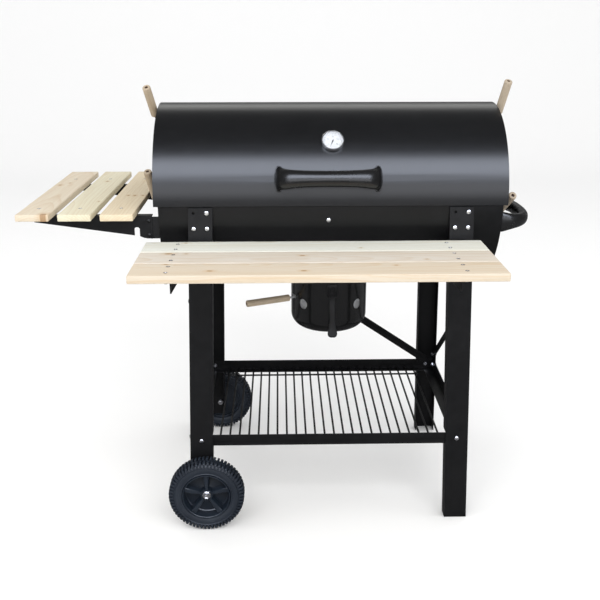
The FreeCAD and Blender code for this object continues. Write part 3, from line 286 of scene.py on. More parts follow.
# ---------------------------------------------------------------- mesh kit
class Mesh:
    """Collects vertices and faces (row frame, metres) and makes one object."""

    def __init__(self):
        self.v, self.f, self.mi = [], [], []

    def add(self, verts, faces, mi=0):
        o = len(self.v)
        self.v += [Vector(p) for p in verts]
        self.f += [tuple(i + o for i in f) for f in faces]
        self.mi += [mi] * len(faces)

    def rings(self, rings, cap0=True, cap1=True, mi=0, loop=False, closed=True):
        """Skins a list of equal rings of points."""
        n = len(rings[0])
        verts = [p for r in rings for p in r]
        faces = []
        m = len(rings)
        for i in range(m if loop else m - 1):
            a, b = i * n, ((i + 1) % m) * n
            for k in range(n if closed else n - 1):
                k2 = (k + 1) % n
                faces.append((a + k, a + k2, b + k2, b + k))
        if cap0 and not loop:
            faces.append(tuple(reversed(range(n))))
        if cap1 and not loop:
            faces.append(tuple(range((m - 1) * n, m * n)))
        self.add(verts, faces, mi)

    def lathe(self, prof, at, axis, n=48, mi=0, loop=False, phase=0.0, xdir=None):
        """Turns a profile of (radius, height) round axis at a point. A radius of 0 closes to a point."""
        ax = Vector(axis).normalized()
        x = Vector(xdir).normalized() if xdir is not None else ax.orthogonal().normalized()
        x = (x - ax * x.dot(ax)).normalized()
        y = ax.cross(x)
        at = Vector(at)
        idx, verts = [], []
        for r, h in prof:
            if r < 1e-7:
                idx.append([len(verts)] * n)
                verts.append(at + ax * h)
            else:
                idx.append(list(range(len(verts), len(verts) + n)))
                for k in range(n):
                    a = phase + 2 * math.pi * k / n
                    verts.append(at + ax * h + (x * math.cos(a) + y * math.sin(a)) * r)
        faces = []
        m = len(prof)
        for i in range(m if loop else m - 1):
            A, B = idx[i], idx[(i + 1) % m]
            for k in range(n):
                k2 = (k + 1) % n
                q = []
                for t in (A[k], A[k2], B[k2], B[k]):
                    if t not in q:
                        q.append(t)
                if len(q) > 2:
                    faces.append(tuple(q))
        self.add(verts, faces, mi)

    def tube(self, a, b, r, n=16, mi=0, rnd=0.3):
        """Round bar with slightly rounded ends."""
        a, b = Vector(a), Vector(b)
        L = (b - a).length
        e = r * rnd
        self.lathe([(0, 0), (r - e, 0), (r - e * 0.3, e * 0.3), (r, e), (r, L - e), (r - e * 0.3, L - e * 0.3), (r - e, L), (0, L)], a, b - a, n, mi)

    def wire(self, pts, r, n=12, mi=0):
        """Bar along a polyline of points, with mitred rings."""
        pts = [Vector(p) for p in pts]
        t0 = (pts[1] - pts[0]).normalized()
        x = t0.orthogonal().normalized()
        rings = []
        for i, p in enumerate(pts):
            if i == 0:
                t = t0
            elif i == len(pts) - 1:
                t = (pts[i] - pts[i - 1]).normalized()
            else:
                t = ((pts[i] - pts[i - 1]).normalized() + (pts[i + 1] - pts[i]).normalized()).normalized()
            x = (x - t * x.dot(t)).normalized()
            y = t.cross(x)
            rings.append([p + (x * math.cos(2 * math.pi * k / n) + y * math.sin(2 * math.pi * k / n)) * r for k in range(n)])
        self.rings(rings, mi=mi)

    def obj(self, name, mats, body, slot=None, replaces=(), angle=38.0, bevel=None, subsurf=0, merge=True):
        me = bpy.data.meshes.new(name)
        me.from_pydata([tuple(p) for p in self.v], [], self.f)
        me.validate()
        for m in mats if isinstance(mats, (list, tuple)) else [mats]:
            me.materials.append(m)
        if len(self.mi) == len(me.polygons):
            me.polygons.foreach_set("material_index", self.mi)
        import bmesh
        bm = bmesh.new()
        bm.from_mesh(me)
        if merge:
            bmesh.ops.remove_doubles(bm, verts=bm.verts, dist=1e-6)
        bmesh.ops.recalc_face_normals(bm, faces=bm.faces)
        bm.to_mesh(me)
        bm.free()
        me.shade_smooth()
        me.set_sharp_from_angle(angle=math.radians(angle))
        o = bpy.data.objects.new(name, me)
        bpy.context.scene.collection.objects.link(o)
        if bevel:
            b = o.modifiers.new("edge", "BEVEL")
            b.width, b.segments, b.limit_method, b.angle_limit = bevel[0], bevel[1], "ANGLE", math.radians(bevel[2] if len(bevel) > 2 else 40)
            b.harden_normals = True
        if subsurf:
            s = o.modifiers.new("sub", "SUBSURF")
            s.levels = s.render_levels = subsurf
        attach(o, body)
        if replaces:
            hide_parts(*replaces)
        return o


def superellipse(n, a, b, e=2.4):
    out = []
    for k in range(n):
        t = 2 * math.pi * k / n
        c, s = math.cos(t), math.sin(t)
        out.append((a * math.copysign(abs(c) ** (2 / e), c), b * math.copysign(abs(s) ** (2 / e), s)))
    return out


def catmull(keys, n):
    """Smooth interpolation of rows of numbers, n steps per span."""
    out = []
    K = [keys[0]] + list(keys) + [keys[-1]]
    for i in range(1, len(K) - 2):
        p0, p1, p2, p3 = K[i - 1], K[i], K[i + 1], K[i + 2]
        for s in range(n):
            t = s / n
            out.append(tuple(0.5 * (2 * b + (c - a) * t + (2 * a - 5 * b + 4 * c - d) * t * t + (3 * b - a - 3 * c + d) * t ** 3) for a, b, c, d in zip(p0, p1, p2, p3)))
    out.append(tuple(keys[-1]))
    return out


# ---------------------------------------------------------------- materials
M = {}
M["black_paint"] = paint("paint_satin_black", (0.0046, 0.0048, 0.0056), (0.0062, 0.0065, 0.0076), 0.275, 0.295, peel=0.000006, peel_scale=1400.0, dust=0.04, wave=0.8)
M["drum_paint"] = paint("paint_drum_black", (0.0040, 0.0041, 0.0045), (0.0060, 0.0061, 0.0068), 0.34, 0.38, spec=0.26, peel=0.000008, peel_scale=1400.0, dust=0.04, wave=0.8)
M["frame_paint"] = paint("paint_frame_black", (0.0040, 0.0040, 0.0045), (0.0072, 0.0071, 0.0078), 0.36, 0.46, spec=0.27, peel=0.00003, peel_scale=900.0, dust=0.12)
M["black_wire"] = paint("paint_wire_black", (0.0028, 0.0028, 0.0032), (0.0050, 0.0050, 0.0055), 0.36, 0.46, spec=0.25, peel=0.00003, dust=0.03)
M["black_enamel"] = paint("enamel_black", (0.005, 0.0052, 0.0056), (0.0075, 0.0077, 0.0080), 0.16, 0.24, spec=0.45, peel=0.00002, peel_scale=260.0, coat=0.25, coat_rough=0.08, dust=0.05)
M["black_plastic"] = plastic("plastic_gloss_black", (0.0060, 0.0060, 0.0064), (0.0095, 0.0095, 0.0100), 0.22, 0.30, grain=0.000008)
M["wheel_tread"] = plastic("plastic_tread", (0.0085, 0.0135, 0.0235), (0.0140, 0.0215, 0.0345), 0.40, 0.54)
M["wheel_plastic"] = plastic("plastic_rim", (0.0085, 0.0135, 0.0225), (0.0150, 0.0225, 0.0350), 0.28, 0.42)
M["zinc_bolts"] = metal("zinc_bright", (0.60, 0.60, 0.61), (0.86, 0.86, 0.88), 0.18, 0.34, scale=420.0)
M["bezel"] = metal("steel_bezel", (0.72, 0.72, 0.73), (0.90, 0.90, 0.91), 0.12, 0.22, scale=300.0)
M["chromed_wire"] = metal("chrome_wire", (0.55, 0.55, 0.56), (0.75, 0.75, 0.76), 0.12, 0.28, scale=150.0)
M["grate_steel"] = metal("steel_grate", (0.14, 0.13, 0.125), (0.30, 0.285, 0.27), 0.38, 0.60, scale=90.0, bump=0.00008)
M["needle_black"] = paint("paint_needle", (0.02, 0.02, 0.02), (0.03, 0.03, 0.03), 0.35, 0.45, dust=0.0)


def spangle():
    g = G("galvanised_sheet")
    x = g.n("ShaderNodeTexVoronoi")
    x.inputs["Scale"].default_value = 130.0
    g.l(g.co, x.inputs["Vector"])
    sp = g.xyz(x.outputs["Color"])[0]
    n = g.noise(g.co, 35.0, 5.0, 0.6)
    col = g.ramp(g.math("ADD", g.math("MULTIPLY", sp, 0.5), g.math("MULTIPLY", n, 0.5)), [(0.25, (0.34, 0.345, 0.355)), (0.75, (0.52, 0.525, 0.54))])
    return g.set(color=col, metal=0.55, rough=g.rng(sp, 0.0, 1.0, 0.42, 0.58), normal=g.bump(n, 0.00005, 0.4))


M["zinc_sheet"] = spangle()


def dial():
    g = G("dial_white")
    n = g.noise(g.co, 400.0, 3.0, 0.5)
    return g.set(color=g.ramp(n, [(0.3, (0.56, 0.56, 0.56)), (0.7, (0.62, 0.62, 0.615))]), rough=g.rng(n, 0.3, 0.7, 0.32, 0.42))


M["dial_white"] = dial()


def glass():
    g = G("glass_clear")
    n = g.noise(g.co, 90.0, 2.0, 0.5)
    return g.set(color=(0.97, 0.98, 0.98), trans=1.0, ior=1.45, rough=g.rng(n, 0.3, 0.7, 0.01, 0.03), alpha=0.35)


M["clear_glass"] = glass()


def dowel(name, seed, light, mid, dark):
    """Turned dowel with its grain along local Z."""
    g = G(name)
    x, y, z = g.xyz(g.co)
    z = g.math("ADD", z, seed * 2.3)
    dx = g.math("ADD", x, 0.011 + 0.004 * math.sin(seed))
    dy = g.math("ADD", y, 0.016)
    wob = g.noise(g.comb(g.math("MULTIPLY", x, 90.0), g.math("MULTIPLY", y, 90.0), g.math("MULTIPLY", z, 9.0)), 1.0, 3.0, 0.55)
    r = g.math("SQRT", g.math("ADD", g.math("MULTIPLY", dx, dx), g.math("MULTIPLY", dy, dy)))
    r = g.math("ADD", r, g.math("MULTIPLY", wob, 0.0016))
    late = g.ramp(g.math("FRACT", g.math("DIVIDE", r, 0.0021)), [(0.0, 0.0), (0.6, 0.35), (0.9, 1.0), (1.0, 0.1)])
    fib = g.noise(g.comb(g.math("MULTIPLY", x, 2200.0), g.math("MULTIPLY", y, 2200.0), g.math("MULTIPLY", z, 60.0)), 1.0, 3.0, 0.6)
    fleck = g.noise(g.comb(g.math("MULTIPLY", x, 900.0), g.math("MULTIPLY", y, 900.0), g.math("MULTIPLY", z, 140.0)), 1.0, 2.0, 0.5)
    broad = g.noise(g.comb(g.math("MULTIPLY", x, 60.0), g.math("MULTIPLY", y, 60.0), g.math("MULTIPLY", z, 8.0)), 1.0, 3.0, 0.5)
    col = g.mix(g.math("MULTIPLY", late, 0.5), light, mid)
    col = g.mix(g.ramp(broad, [(0.35, 0.0), (0.7, 0.5)]), col, mid)
    col = g.mix(g.ramp(fleck, [(0.60, 0.0), (0.70, 0.55)]), col, dark)
    col = g.mix(g.ramp(fib, [(0.5, 0.0), (0.8, 0.4)]), col, dark)
    return g.set(color=col, rough=g.rng(fib, 0.3, 0.7, 0.52, 0.70), normal=g.bump(fib, 0.00012, 0.6), spec=0.35)


M["end_bore"] = plastic("wood_bore_dark", (0.13, 0.075, 0.045), (0.20, 0.12, 0.075), 0.7, 0.85)
# ================================================================ CAD nodes that keep their shape
SLOT = {s["node"]: s["material_slot"] for s in frame["record"]["subparts"]}
SMOOTH_SHELLS = {"lid_shell", "lid_end_left", "lid_end_right", "drum_shell", "drum_end_left", "drum_end_right", "ash_collar"}
for n, o in NODES.items():
    s = SLOT[n]
    if s in ("pine", "beech"):
        continue                                   # drawn again below, board by board
    mat = M[s]
    if s == "black_paint" and n not in SMOOTH_SHELLS:
        mat = M["frame_paint"]
    if n.startswith("drum_") or n == "ash_collar":
        mat = M["drum_paint"]
    o.data.materials.clear()
    o.data.materials.append(mat)

# sheet and bar parts get a small rounded edge
for n in ("leg_front_left", "leg_front_right", "leg_rear_left", "leg_rear_right", "rail_front", "rail_rear", "side_rails", "brace_rear", "side_braces",
          "front_shelf_brackets", "side_shelf_brackets", "side_shelf_mounts", "hinge_leaves_lid", "hinge_leaves_drum"):
    o = NODES[n]
    w = o.modifiers.new("weld", "WELD")
    w.merge_threshold = 0.00001
    b = o.modifiers.new("edge", "BEVEL")
    b.width, b.segments, b.limit_method, b.angle_limit = 0.0006, 2, "ANGLE", math.radians(50)
    b.harden_normals = True
    b.use_clamp_overlap = True

# ================================================================ boards
def board(name, node, order, body, mat, seed, wane=0.0003):
    """A planed board with eased edges, slightly uneven along its length, sawn ends."""
    lo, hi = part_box(node)
    c = (lo + hi) / 2
    h = (hi - lo) / 2
    L, Wd, T = h[order[0]], h[order[1]], h[order[2]]
    rnd = random.Random(seed)
    ph = [rnd.uniform(0, 6.28) for _ in range(8)]
    r = 0.0022
    n_u = 48
    prof = []
    # section: closed loop of (v, w)
    m = 10
    for (sv, sw, a0) in ((1, 1, 0), (-1, 1, 90), (-1, -1, 180), (1, -1, 270)):
        cv, cw = sv * (Wd - r), sw * (T - r)
        for k in range(4):
            a = math.radians(a0 + 90 * k / 3)
            prof.append((cv + r * math.cos(a), cw + r * math.sin(a)))
        nxt = {0: (-1, 1), 90: (-1, -1), 180: (1, -1), 270: (1, 1)}[a0]
        tv, tw = nxt[0] * (Wd - r), nxt[1] * (T - r)
        steps = m if a0 in (0, 180) else 2
        e0 = prof[-1]
        e1 = {0: (tv, T), 90: (-Wd, tw), 180: (tv, -T), 270: (Wd, tw)}[a0]
        for k in range(1, steps):
            prof.append((e0[0] + (e1[0] - e0[0]) * k / steps, e0[1] + (e1[1] - e0[1]) * k / steps))
    mesh = Mesh()
    rings = []
    us = [-L, -L + 0.0005, -L + 0.0014] + [-L + 0.003 + (2 * L - 0.006) * i / n_u for i in range(n_u + 1)] + [L - 0.0014, L - 0.0005, L]
    for i, u in enumerate(us):
        ins = {0: 0.0013, 1: 0.0005, 2: 0.0001}.get(min(i, len(us) - 1 - i), 0.0)
        ring = []
        for (v, w) in prof:
            ev = wane * (math.sin(u * 31 + ph[0]) * 0.5 + math.sin(u * 83 + ph[1]) * 0.3 - 0.8) * (1 if v > 0 else -1) * abs(v) / Wd
            ew = wane * 0.6 * (math.sin(u * 23 + ph[2] + v * 60) * 0.5 + math.sin(u * 61 + v * 140 + ph[3]) * 0.25 - 0.75) * (1 if w > 0 else -1) * abs(w) / T
            vv = v + ev - (ins if v > 0 else -ins) * min(1, abs(v) / Wd)
            ww = w + ew - (ins if w > 0 else -ins) * min(1, abs(w) / T)
            p = [0, 0, 0]
            p[order[0]], p[order[1]], p[order[2]] = c[order[0]] + u, c[order[1]] + vv, c[order[2]] + ww
            ring.append(Vector(p))
        rings.append(ring)
    mesh.rings(rings)
    return mesh.obj(name, mat, body, "pine", (node,), angle=50)


def centre_of(node):
    lo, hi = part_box(node)
    return (lo + hi) / 2


def local(node, pts, order, z):
    """Knots given in drum-centred millimetres (x, y, radius) as offsets from the board's centre."""
    c = centre_of(node)
    out = []
    for (x, y, r) in pts:
        p = W(x, y, z)
        out.append((p[order[0]] - c[order[0]], p[order[1]] - c[order[1]], r / 1000))
    return out


FRONT = (0, 1, 2)
SIDE = (1, 0, 2)
planks = [
    ("front_plank_1", FRONT, (0.035, -0.055), [(-328, -250, 2.4), (60, -300, 2.2)], 1.0, dict(light=(0.732, 0.744, 0.684), mid=(0.661, 0.620, 0.503), dark=(0.425, 0.360, 0.245))),
    ("front_plank_2", FRONT, (-0.020, -0.070), [(-356, -341, 5.0), (-318, -342, 2.6), (-70, -361, 3.6), (190, -395, 2.4)], 2.0, dict(light=(0.653, 0.605, 0.531), mid=(0.578, 0.473, 0.354), dark=(0.364, 0.253, 0.153))),
    ("front_plank_3", FRONT, (0.030, -0.048), [(-351, -424, 3.0), (-258, -474, 3.8), (-70, -476, 3.6), (120, -440, 2.6)], 3.0, dict(light=(0.643, 0.567, 0.456), mid=(0.592, 0.452, 0.296), dark=(0.388, 0.252, 0.137))),
    ("side_slat_1", SIDE, (0.050, -0.060), [(-487, -39, 3.2), (-471, -41, 3.6), (-452, -39, 3.0)], 4.0, dict(light=(0.719, 0.622, 0.449), mid=(0.620, 0.483, 0.304), dark=(0.397, 0.267, 0.145))),
    ("side_slat_2", SIDE, (-0.030, -0.045), [(-574, 152, 3.8), (-545, -110, 2.4)], 5.0, dict(light=(0.708, 0.666, 0.500), mid=(0.612, 0.512, 0.347), dark=(0.396, 0.282, 0.167))),
    ("side_slat_3", SIDE, (0.010, -0.080), [(-687, 102, 4.2), (-668, 130, 2.8), (-640, -252, 7.0)], 6.0, dict(light=(0.684, 0.608, 0.476), mid=(0.593, 0.459, 0.313), dark=(0.376, 0.236, 0.136))),
]
for i, (node, order, pith, kn, seed, cols) in enumerate(planks):
    lo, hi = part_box(node)
    mt = wood("pine_" + node, order, tuple((lo + hi) / 2), pith, ring=0.0046 + 0.0005 * (i % 3), knots=local(node, kn, order, hi.z * 1000), seed=seed, contrast=1.25, **cols)
    board("board_" + node, node, order, "frame", mt, 100 + i)

# ================================================================ fasteners
BOLTS = [
    (-283, -213.98, 772, 0, -1, 0, 8.44, 3, 5.6, 3.4, 1),
    (-313, -215.82, 736, 0, -1, 0, 16.73, 3, 5.6, 3.4, 1),
    (-283, -215.82, 736, 0, -1, 0, 16.73, 3, 5.6, 3.4, 1),
    (-283, 213.98, 772, 0, 1, 0, 8.44, 3, 5.6, 3.4, 1),
    (-313, 215.82, 736, 0, 1, 0, 16.73, 3, 5.6, 3.4, 1),
    (-283, 215.82, 736, 0, 1, 0, 16.73, 3, 5.6, 3.4, 1),
    (313, -213.98, 772, 0, -1, 0, 8.44, 3, 5.6, 3.4, 1),
    (283, -215.82, 736, 0, -1, 0, 16.73, 3, 5.6, 3.4, 1),
    (313, -215.82, 736, 0, -1, 0, 16.73, 3, 5.6, 3.4, 1),
    (313, 213.98, 772, 0, 1, 0, 8.44, 3, 5.6, 3.4, 1),
    (283, 215.82, 736, 0, 1, 0, 16.73, 3, 5.6, 3.4, 1),
    (313, 215.82, 736, 0, 1, 0, 16.73, 3, 5.6, 3.4, 1),
    (-6, -205.97, 752.98, 0, -0.9874, -0.1583, 9.6, 3, 5.6, 3.4, 1),
    (-311.53, -242.49, 214, 0, -1, 0, 6.12, 3, 5.6, 3.4, 1),
    (-311.53, 242.49, 214, 0, 1, 0, 6.12, 3, 5.6, 3.4, 1),
    (311.53, -242.49, 214, 0, -1, 0, 6.12, 3, 5.6, 3.4, 1),
    (311.53, 242.49, 214, 0, 1, 0, 6.12, 3, 5.6, 3.4, 1),
    (-339.28, -221.97, 216.5, -1, 0, 0, 6.07, 3, 5.6, 3.4, 1),
    (-339.28, 221.97, 216.5, -1, 0, 0, 6.07, 3, 5.6, 3.4, 1),
    (339.28, -221.97, 216.5, 1, 0, 0, 6.07, 3, 5.6, 3.4, 1),
    (339.28, 221.97, 216.5, 1, 0, 0, 6.07, 3, 5.6, 3.4, 1),
    (-338.31, 221.23, 250, -1, 0, 0, 6.7, 3, 5.6, 3.4, 1),
    (-330.4, -205.39, 560, -1, 0, 0, 6.7, 3, 5.6, 3.4, 1),
    (338.31, 221.23, 250, 1, 0, 0, 6.7, 3, 5.6, 3.4, 1),
    (330.4, -205.39, 560, 1, 0, 0, 6.7, 3, 5.6, 3.4, 1),
    (-303, -221.52, 680.9, 0, -1, 0, 6, 3, 5.6, 3.4, 1),
    (-303, -222.74, 656.9, 0, -1, 0, 6, 3, 5.6, 3.4, 1),
    (286.5, -221.52, 680.9, 0, -1, 0, 6, 3, 5.6, 3.4, 1),
    (286.5, -222.74, 656.9, 0, -1, 0, 6, 3, 5.6, 3.4, 1),
    (-416.5, -198.1, 751.4, 0, -1, 0, 5.9, 3, 5, 3.4, 1),
    (-416.5, -198.1, 718.4, 0, -1, 0, 5.9, 3, 5, 3.4, 1),
    (-395.9, -178.2, 749.4, -1, 0, 0, 4.7, 3, 5, 3.4, 1),
    (-395.9, -178.2, 729.4, -1, 0, 0, 4.7, 3, 5, 3.4, 1),
    (-416.5, 198.1, 751.4, 0, 1, 0, 5.9, 3, 5, 3.4, 1),
    (-416.5, 198.1, 718.4, 0, 1, 0, 5.9, 3, 5, 3.4, 1),
    (-395.9, 178.2, 749.4, -1, 0, 0, 4.7, 3, 5, 3.4, 1),
    (-395.9, 178.2, 729.4, -1, 0, 0, 4.7, 3, 5, 3.4, 1),
    (391.4, -186, 743, -1, 0, 0, 11, 2.9, 5.6, 3.4, 0),
    (391.4, 50, 743, -1, 0, 0, 11, 2.9, 5.6, 3.4, 0),
]


def dome(m, p, d, r, h, n=28):
    """Domed head with a small rolled skirt."""
    prof = [(0, 0), (r * 0.93, 0), (r, h * 0.10), (r, h * 0.22)]
    for k in range(1, 9):
        a = math.radians(90 * k / 8)
        prof.append((r * math.cos(a) if k < 8 else 0.0, h * 0.22 + h * 0.78 * math.sin(a)))
    m.lathe(prof, p, d, n)


def nut(m, p, d, af, h, bore, phase=0.2):
    R = af / math.sqrt(3)
    c = h * 0.14
    m.lathe([(bore, 0), (R * 0.90, 0), (R, c), (R, h - c), (R * 0.90, h), (bore + 0.0004, h), (bore, h - 0.0004)], p, d, 6, phase=phase)


def thread(m, p, d, r, L, pitch=0.001):
    """Threaded shank end: fine grooves and a chamfered tip."""
    prof = [(0, 0), (r * 0.86, 0)]
    k = int(L / pitch)
    for i in range(k):
        z = i * pitch
        prof += [(r * 0.86, z + pitch * 0.1), (r, z + pitch * 0.45), (r, z + pitch * 0.55), (r * 0.86, z + pitch * 0.95)]
    prof += [(r * 0.80, L), (0, L)]
    m.lathe(prof, p, d, 18)


def fastener(m, b, ph):
    x, y, z, dx, dy, dz, grip, r, head, hh, has_nut = b
    p, d = W(x, y, z), Vector((dx, dy, dz)).normalized()
    g, r, head, hh = grip / 1000, r / 1000, head / 1000, hh / 1000
    dome(m, p, d, head, hh)
    if has_nut:
        m.tube(p + d * 0.0001, p - d * g, r * 0.97, 18)
        nut(m, p - d * g, -d, 0.010, 0.0045, r, ph)
        thread(m, p - d * (g - 0.0005), -d, r, 0.0068)
    else:
        m.tube(p + d * 0.0001, p - d * (g + 0.0), r * 0.97, 18)


fm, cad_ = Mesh(), Mesh()
for i, b in enumerate(BOLTS):
    fastener(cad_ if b[0] < -390 else fm, b, 0.3 + i * 0.71)
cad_.obj("bolts_side_shelf", M["frame_paint"], "frame")
for xc in (-215.0, 215.0):
    aa = math.radians(-16)
    for dx in (-20, 20):
        R = (_dh.y - _dl.y) / 2 * 1000
        pp, nn = W(xc + dx, (R + 2.15) * math.cos(aa), SPLIT * 1000 + (R + 2.15) * math.sin(aa)), Vector((0, math.cos(aa), math.sin(aa)))
        dome(fm, pp + nn * 0.0001, nn, 0.0046, 0.0026)
        fm.tube(pp, pp - nn * 0.0078, 0.0022, 14)
        nut(fm, pp - nn * 0.00395, -nn, 0.008, 0.0032, 0.0022, 0.4 + dx)
fm.obj("bolts", M["zinc_bolts"], "frame", "zinc_bolts", ("frame_bolts",))

# screws of the shelves: countersunk heads with a cross recess, nuts under the flanges
sm = Mesh()


def cross_head(m, p, d, r, depth, turn):
    """Flat head with a cut cross recess, cone below."""
    d = Vector(d).normalized()
    x = Vector((math.cos(turn), math.sin(turn), 0))
    x = (x - d * x.dot(d)).normalized()
    y = d.cross(x)
    a, b = r * 0.62, r * 0.13
    # recess outline, twelve points, and matching points on the rim
    cr = [(a, -b), (a, b), (b, b), (b, a), (-b, a), (-b, b), (-a, b), (-a, -b), (-b, -b), (-b, -a), (b, -a), (b, -b)]
    top = [p + x * u + y * v for u, v in cr]
    low = [p + (x * u + y * v) * 0.8 - d * depth * 0.45 for u, v in cr]
    rim = []
    for u, v in cr:
        t = math.atan2(v, u)
        rim.append(p + (x * math.cos(t) + y * math.sin(t)) * r)
    bot = [p + (q - p) * 0.45 - d * depth for q in rim]
    m.rings([low, top, rim, bot], cap0=True, cap1=True)


k = 0
for node, ztop in (("front_plank_1", None), ("front_plank_2", None), ("front_plank_3", None)):
    lo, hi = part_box(node)
    for xs in (-345.0, 256.5):
        for dy in (-22.0, 22.0):
            c = (lo + hi) / 2
            q = Vector((W(xs, 0, 0).x, c.y + dy / 1000, hi.z))
            cross_head(sm, q + Vector((0, 0, 0.00012)), (0, 0, 1), 0.0044, 0.0026, 0.4 + k * 1.3)
            sm.tube(q - Vector((0, 0, 0.002)), q - Vector((0, 0, 0.0228)), 0.0019, 14)
            nut(sm, Vector((q.x, q.y, lo.z - 0.0027)), (0, 0, -1), 0.007, 0.0032, 0.002, 0.2 + k)
            k += 1
lo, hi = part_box("side_slat_1")
for node in ("side_slat_1", "side_slat_2", "side_slat_3"):
    lo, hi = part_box(node)
    for yy in (-187.0, 187.0):
        q = Vector(((lo.x + hi.x) / 2, W(0, yy, 0).y, hi.z))
        cross_head(sm, q + Vector((0, 0, 0.00012)), (0, 0, 1), 0.0044, 0.0026, 0.2 + k * 1.1)
        sm.tube(q - Vector((0, 0, 0.002)), q - Vector((0, 0, 0.0213)), 0.0019, 14)
        nut(sm, Vector((q.x, q.y, lo.z - 0.0027)), (0, 0, -1), 0.007, 0.0032, 0.002, 0.2 + k)
        k += 1
sm.obj("shelf_screw_set", M["zinc_bolts"], "frame", "zinc_bolts", ("shelf_screws",), angle=30)

# ================================================================ handles
def handle(name, nodes, body, place, keys, n=9, seg=36, e=2.15, face=None):
    """Moulded bow: keys are rows of (along, out, half height, half thickness); place turns (along, out, up) into the row frame."""
    rows = catmull(keys, n)
    m = Mesh()
    rings = []
    for i, (s, k, hh, ht) in enumerate(rows):
        a = rows[max(0, i - 1)]
        b = rows[min(len(rows) - 1, i + 1)]
        ts, tk = b[0] - a[0], b[1] - a[1]
        L = math.hypot(ts, tk) or 1.0
        ts, tk = ts / L, tk / L
        ns, nk = -tk, ts
        ring = []
        for (u, v) in superellipse(seg, hh, ht, e):
            ring.append(place(s + ns * v, k + nk * v, u))
        rings.append(ring)
    m.rings(rings)
    return m.obj(name, M["black_plastic"], body, "black_plastic", nodes, angle=60)


_a = math.radians(17.0)
LR = (_hi.y - _lo.y) / 2 * 1000
HN, HT = Vector((0, -math.cos(_a), math.sin(_a))), Vector((0, math.sin(_a), math.cos(_a)))
H0 = W(-7.0, 0, SPLIT * 1000)


def lid_place(s, k, u):
    # the foot follows the lid's curve
    drop = (u * u) / (2 * LR) if k < 12 else 0.0
    # the bow hangs a little below the middle of its feet
    t = min(1.0, max(0.0, (k - 8.0) / 38.0))
    u = u - 1.0 - 5.5 * t * t * (3 - 2 * t)
    return H0 + Vector((s / 1000, 0, 0)) + HN * ((LR + k - drop * max(0.0, 1 - k / 12)) / 1000) + HT * (u / 1000)


half = [(-112.0, 0.35, 27.6, 9.0), (-112.0, 4.0, 27.8, 9.2), (-111.6, 11.0, 27.0, 9.8), (-109.2, 21.0, 25.6, 10.8), (-103.5, 32.0, 23.8, 12.2), (-92.0, 41.0, 21.8, 13.6), (-75.0, 46.0, 19.8, 14.4), (-45.0, 47.8, 18.2, 14.8), (0.0, 48.2, 17.6, 15.0)]
keys = half + [(-s, k, a, b) for (s, k, a, b) in reversed(half[:-1])]
handle("handle_lid", ("lid_handle",), "lid", lid_place, keys)
# moulded split line and screw bosses inside the bow are hidden by the lid; rub pads under the feet
pm = Mesh()
for sx in (-1, 1):
    rings = []
    for (k, sc) in ((0.05, 1.06), (0.9, 1.06), (1.2, 1.02)):
        rings.append([lid_place(sx * 112.0 + v * sc, k, u * sc) for (u, v) in superellipse(32, 28.2, 9.5, 2.8)])
    pm.rings(rings)
pm.obj("handle_pads", M["black_plastic"], "lid", "black_plastic")
lh = Mesh()
for sx in (-1, 1):
    for t in (-10.0, 10.0):
        q = H0 + Vector((sx * 0.112, 0, 0)) + (HN * math.cos(t / LR) + HT * math.sin(t / LR)) * ((LR - 2.3) / 1000)
        dome(lh, q, -HN, 0.0046, 0.0026)
        lh.tube(q, q + HN * 0.008, 0.0022, 12)
for xc in (-215.0, 215.0):
    for dx in (-14, 14):
        aa = math.radians(9)
        nn = Vector((0, math.cos(aa), math.sin(aa)))
        pp = W(xc + dx, (LR + 2.15) * math.cos(aa), SPLIT * 1000 + (LR + 2.15) * math.sin(aa))
        dome(lh, pp + nn * 0.0001, nn, 0.0046, 0.0026)
        lh.tube(pp, pp - nn * 0.0078, 0.0022, 14)
        nut(lh, pp - nn * 0.00395, -nn, 0.008, 0.0032, 0.0022, 0.4 + dx)
lh.obj("lid_screws", M["zinc_bolts"], "lid", "zinc_bolts", ("lid_handle_screws",))

_plo, _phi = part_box("push_handle")
PX0 = _plo.x
PZ = (_plo.z + _phi.z) / 2
REACH = (_phi.x - _plo.x) * 1000


def push_place(s, k, u):
    return Vector((PX0 + k / 1000, W(0, s, 0).y, PZ + u / 1000))


R_ = REACH - 12.5
half = [(-190.0, 0.3, 23.5, 8.5), (-190.0, 4.0, 23.6, 8.8), (-189.3, 11.0, 22.0, 9.6), (-186.5, 22.0, 19.4, 10.8), (-180.5, 35.0, 17.2, 11.6), (-170.0, 48.0, 16.0, 12.0), (-153.0, R_ - 13.0, 15.4, 12.2), (-128.0, R_ - 4.5, 15.0, 12.3), (-98.0, R_ - 0.8, 14.8, 12.4), (-70.0, R_, 14.8, 12.4)]
keys = half + [(-140.0 - s, k, a, b) for (s, k, a, b) in reversed(half[:-1])]
handle("handle_push", ("push_handle",), "frame", push_place, keys)

# ================================================================ wooden grips
def lever_dir(sx, lean, tilt=7.0):
    a, t = math.radians(lean), math.radians(tilt)
    return Vector((sx * math.sin(t), -math.cos(t) * math.sin(a), math.cos(t) * math.cos(a)))


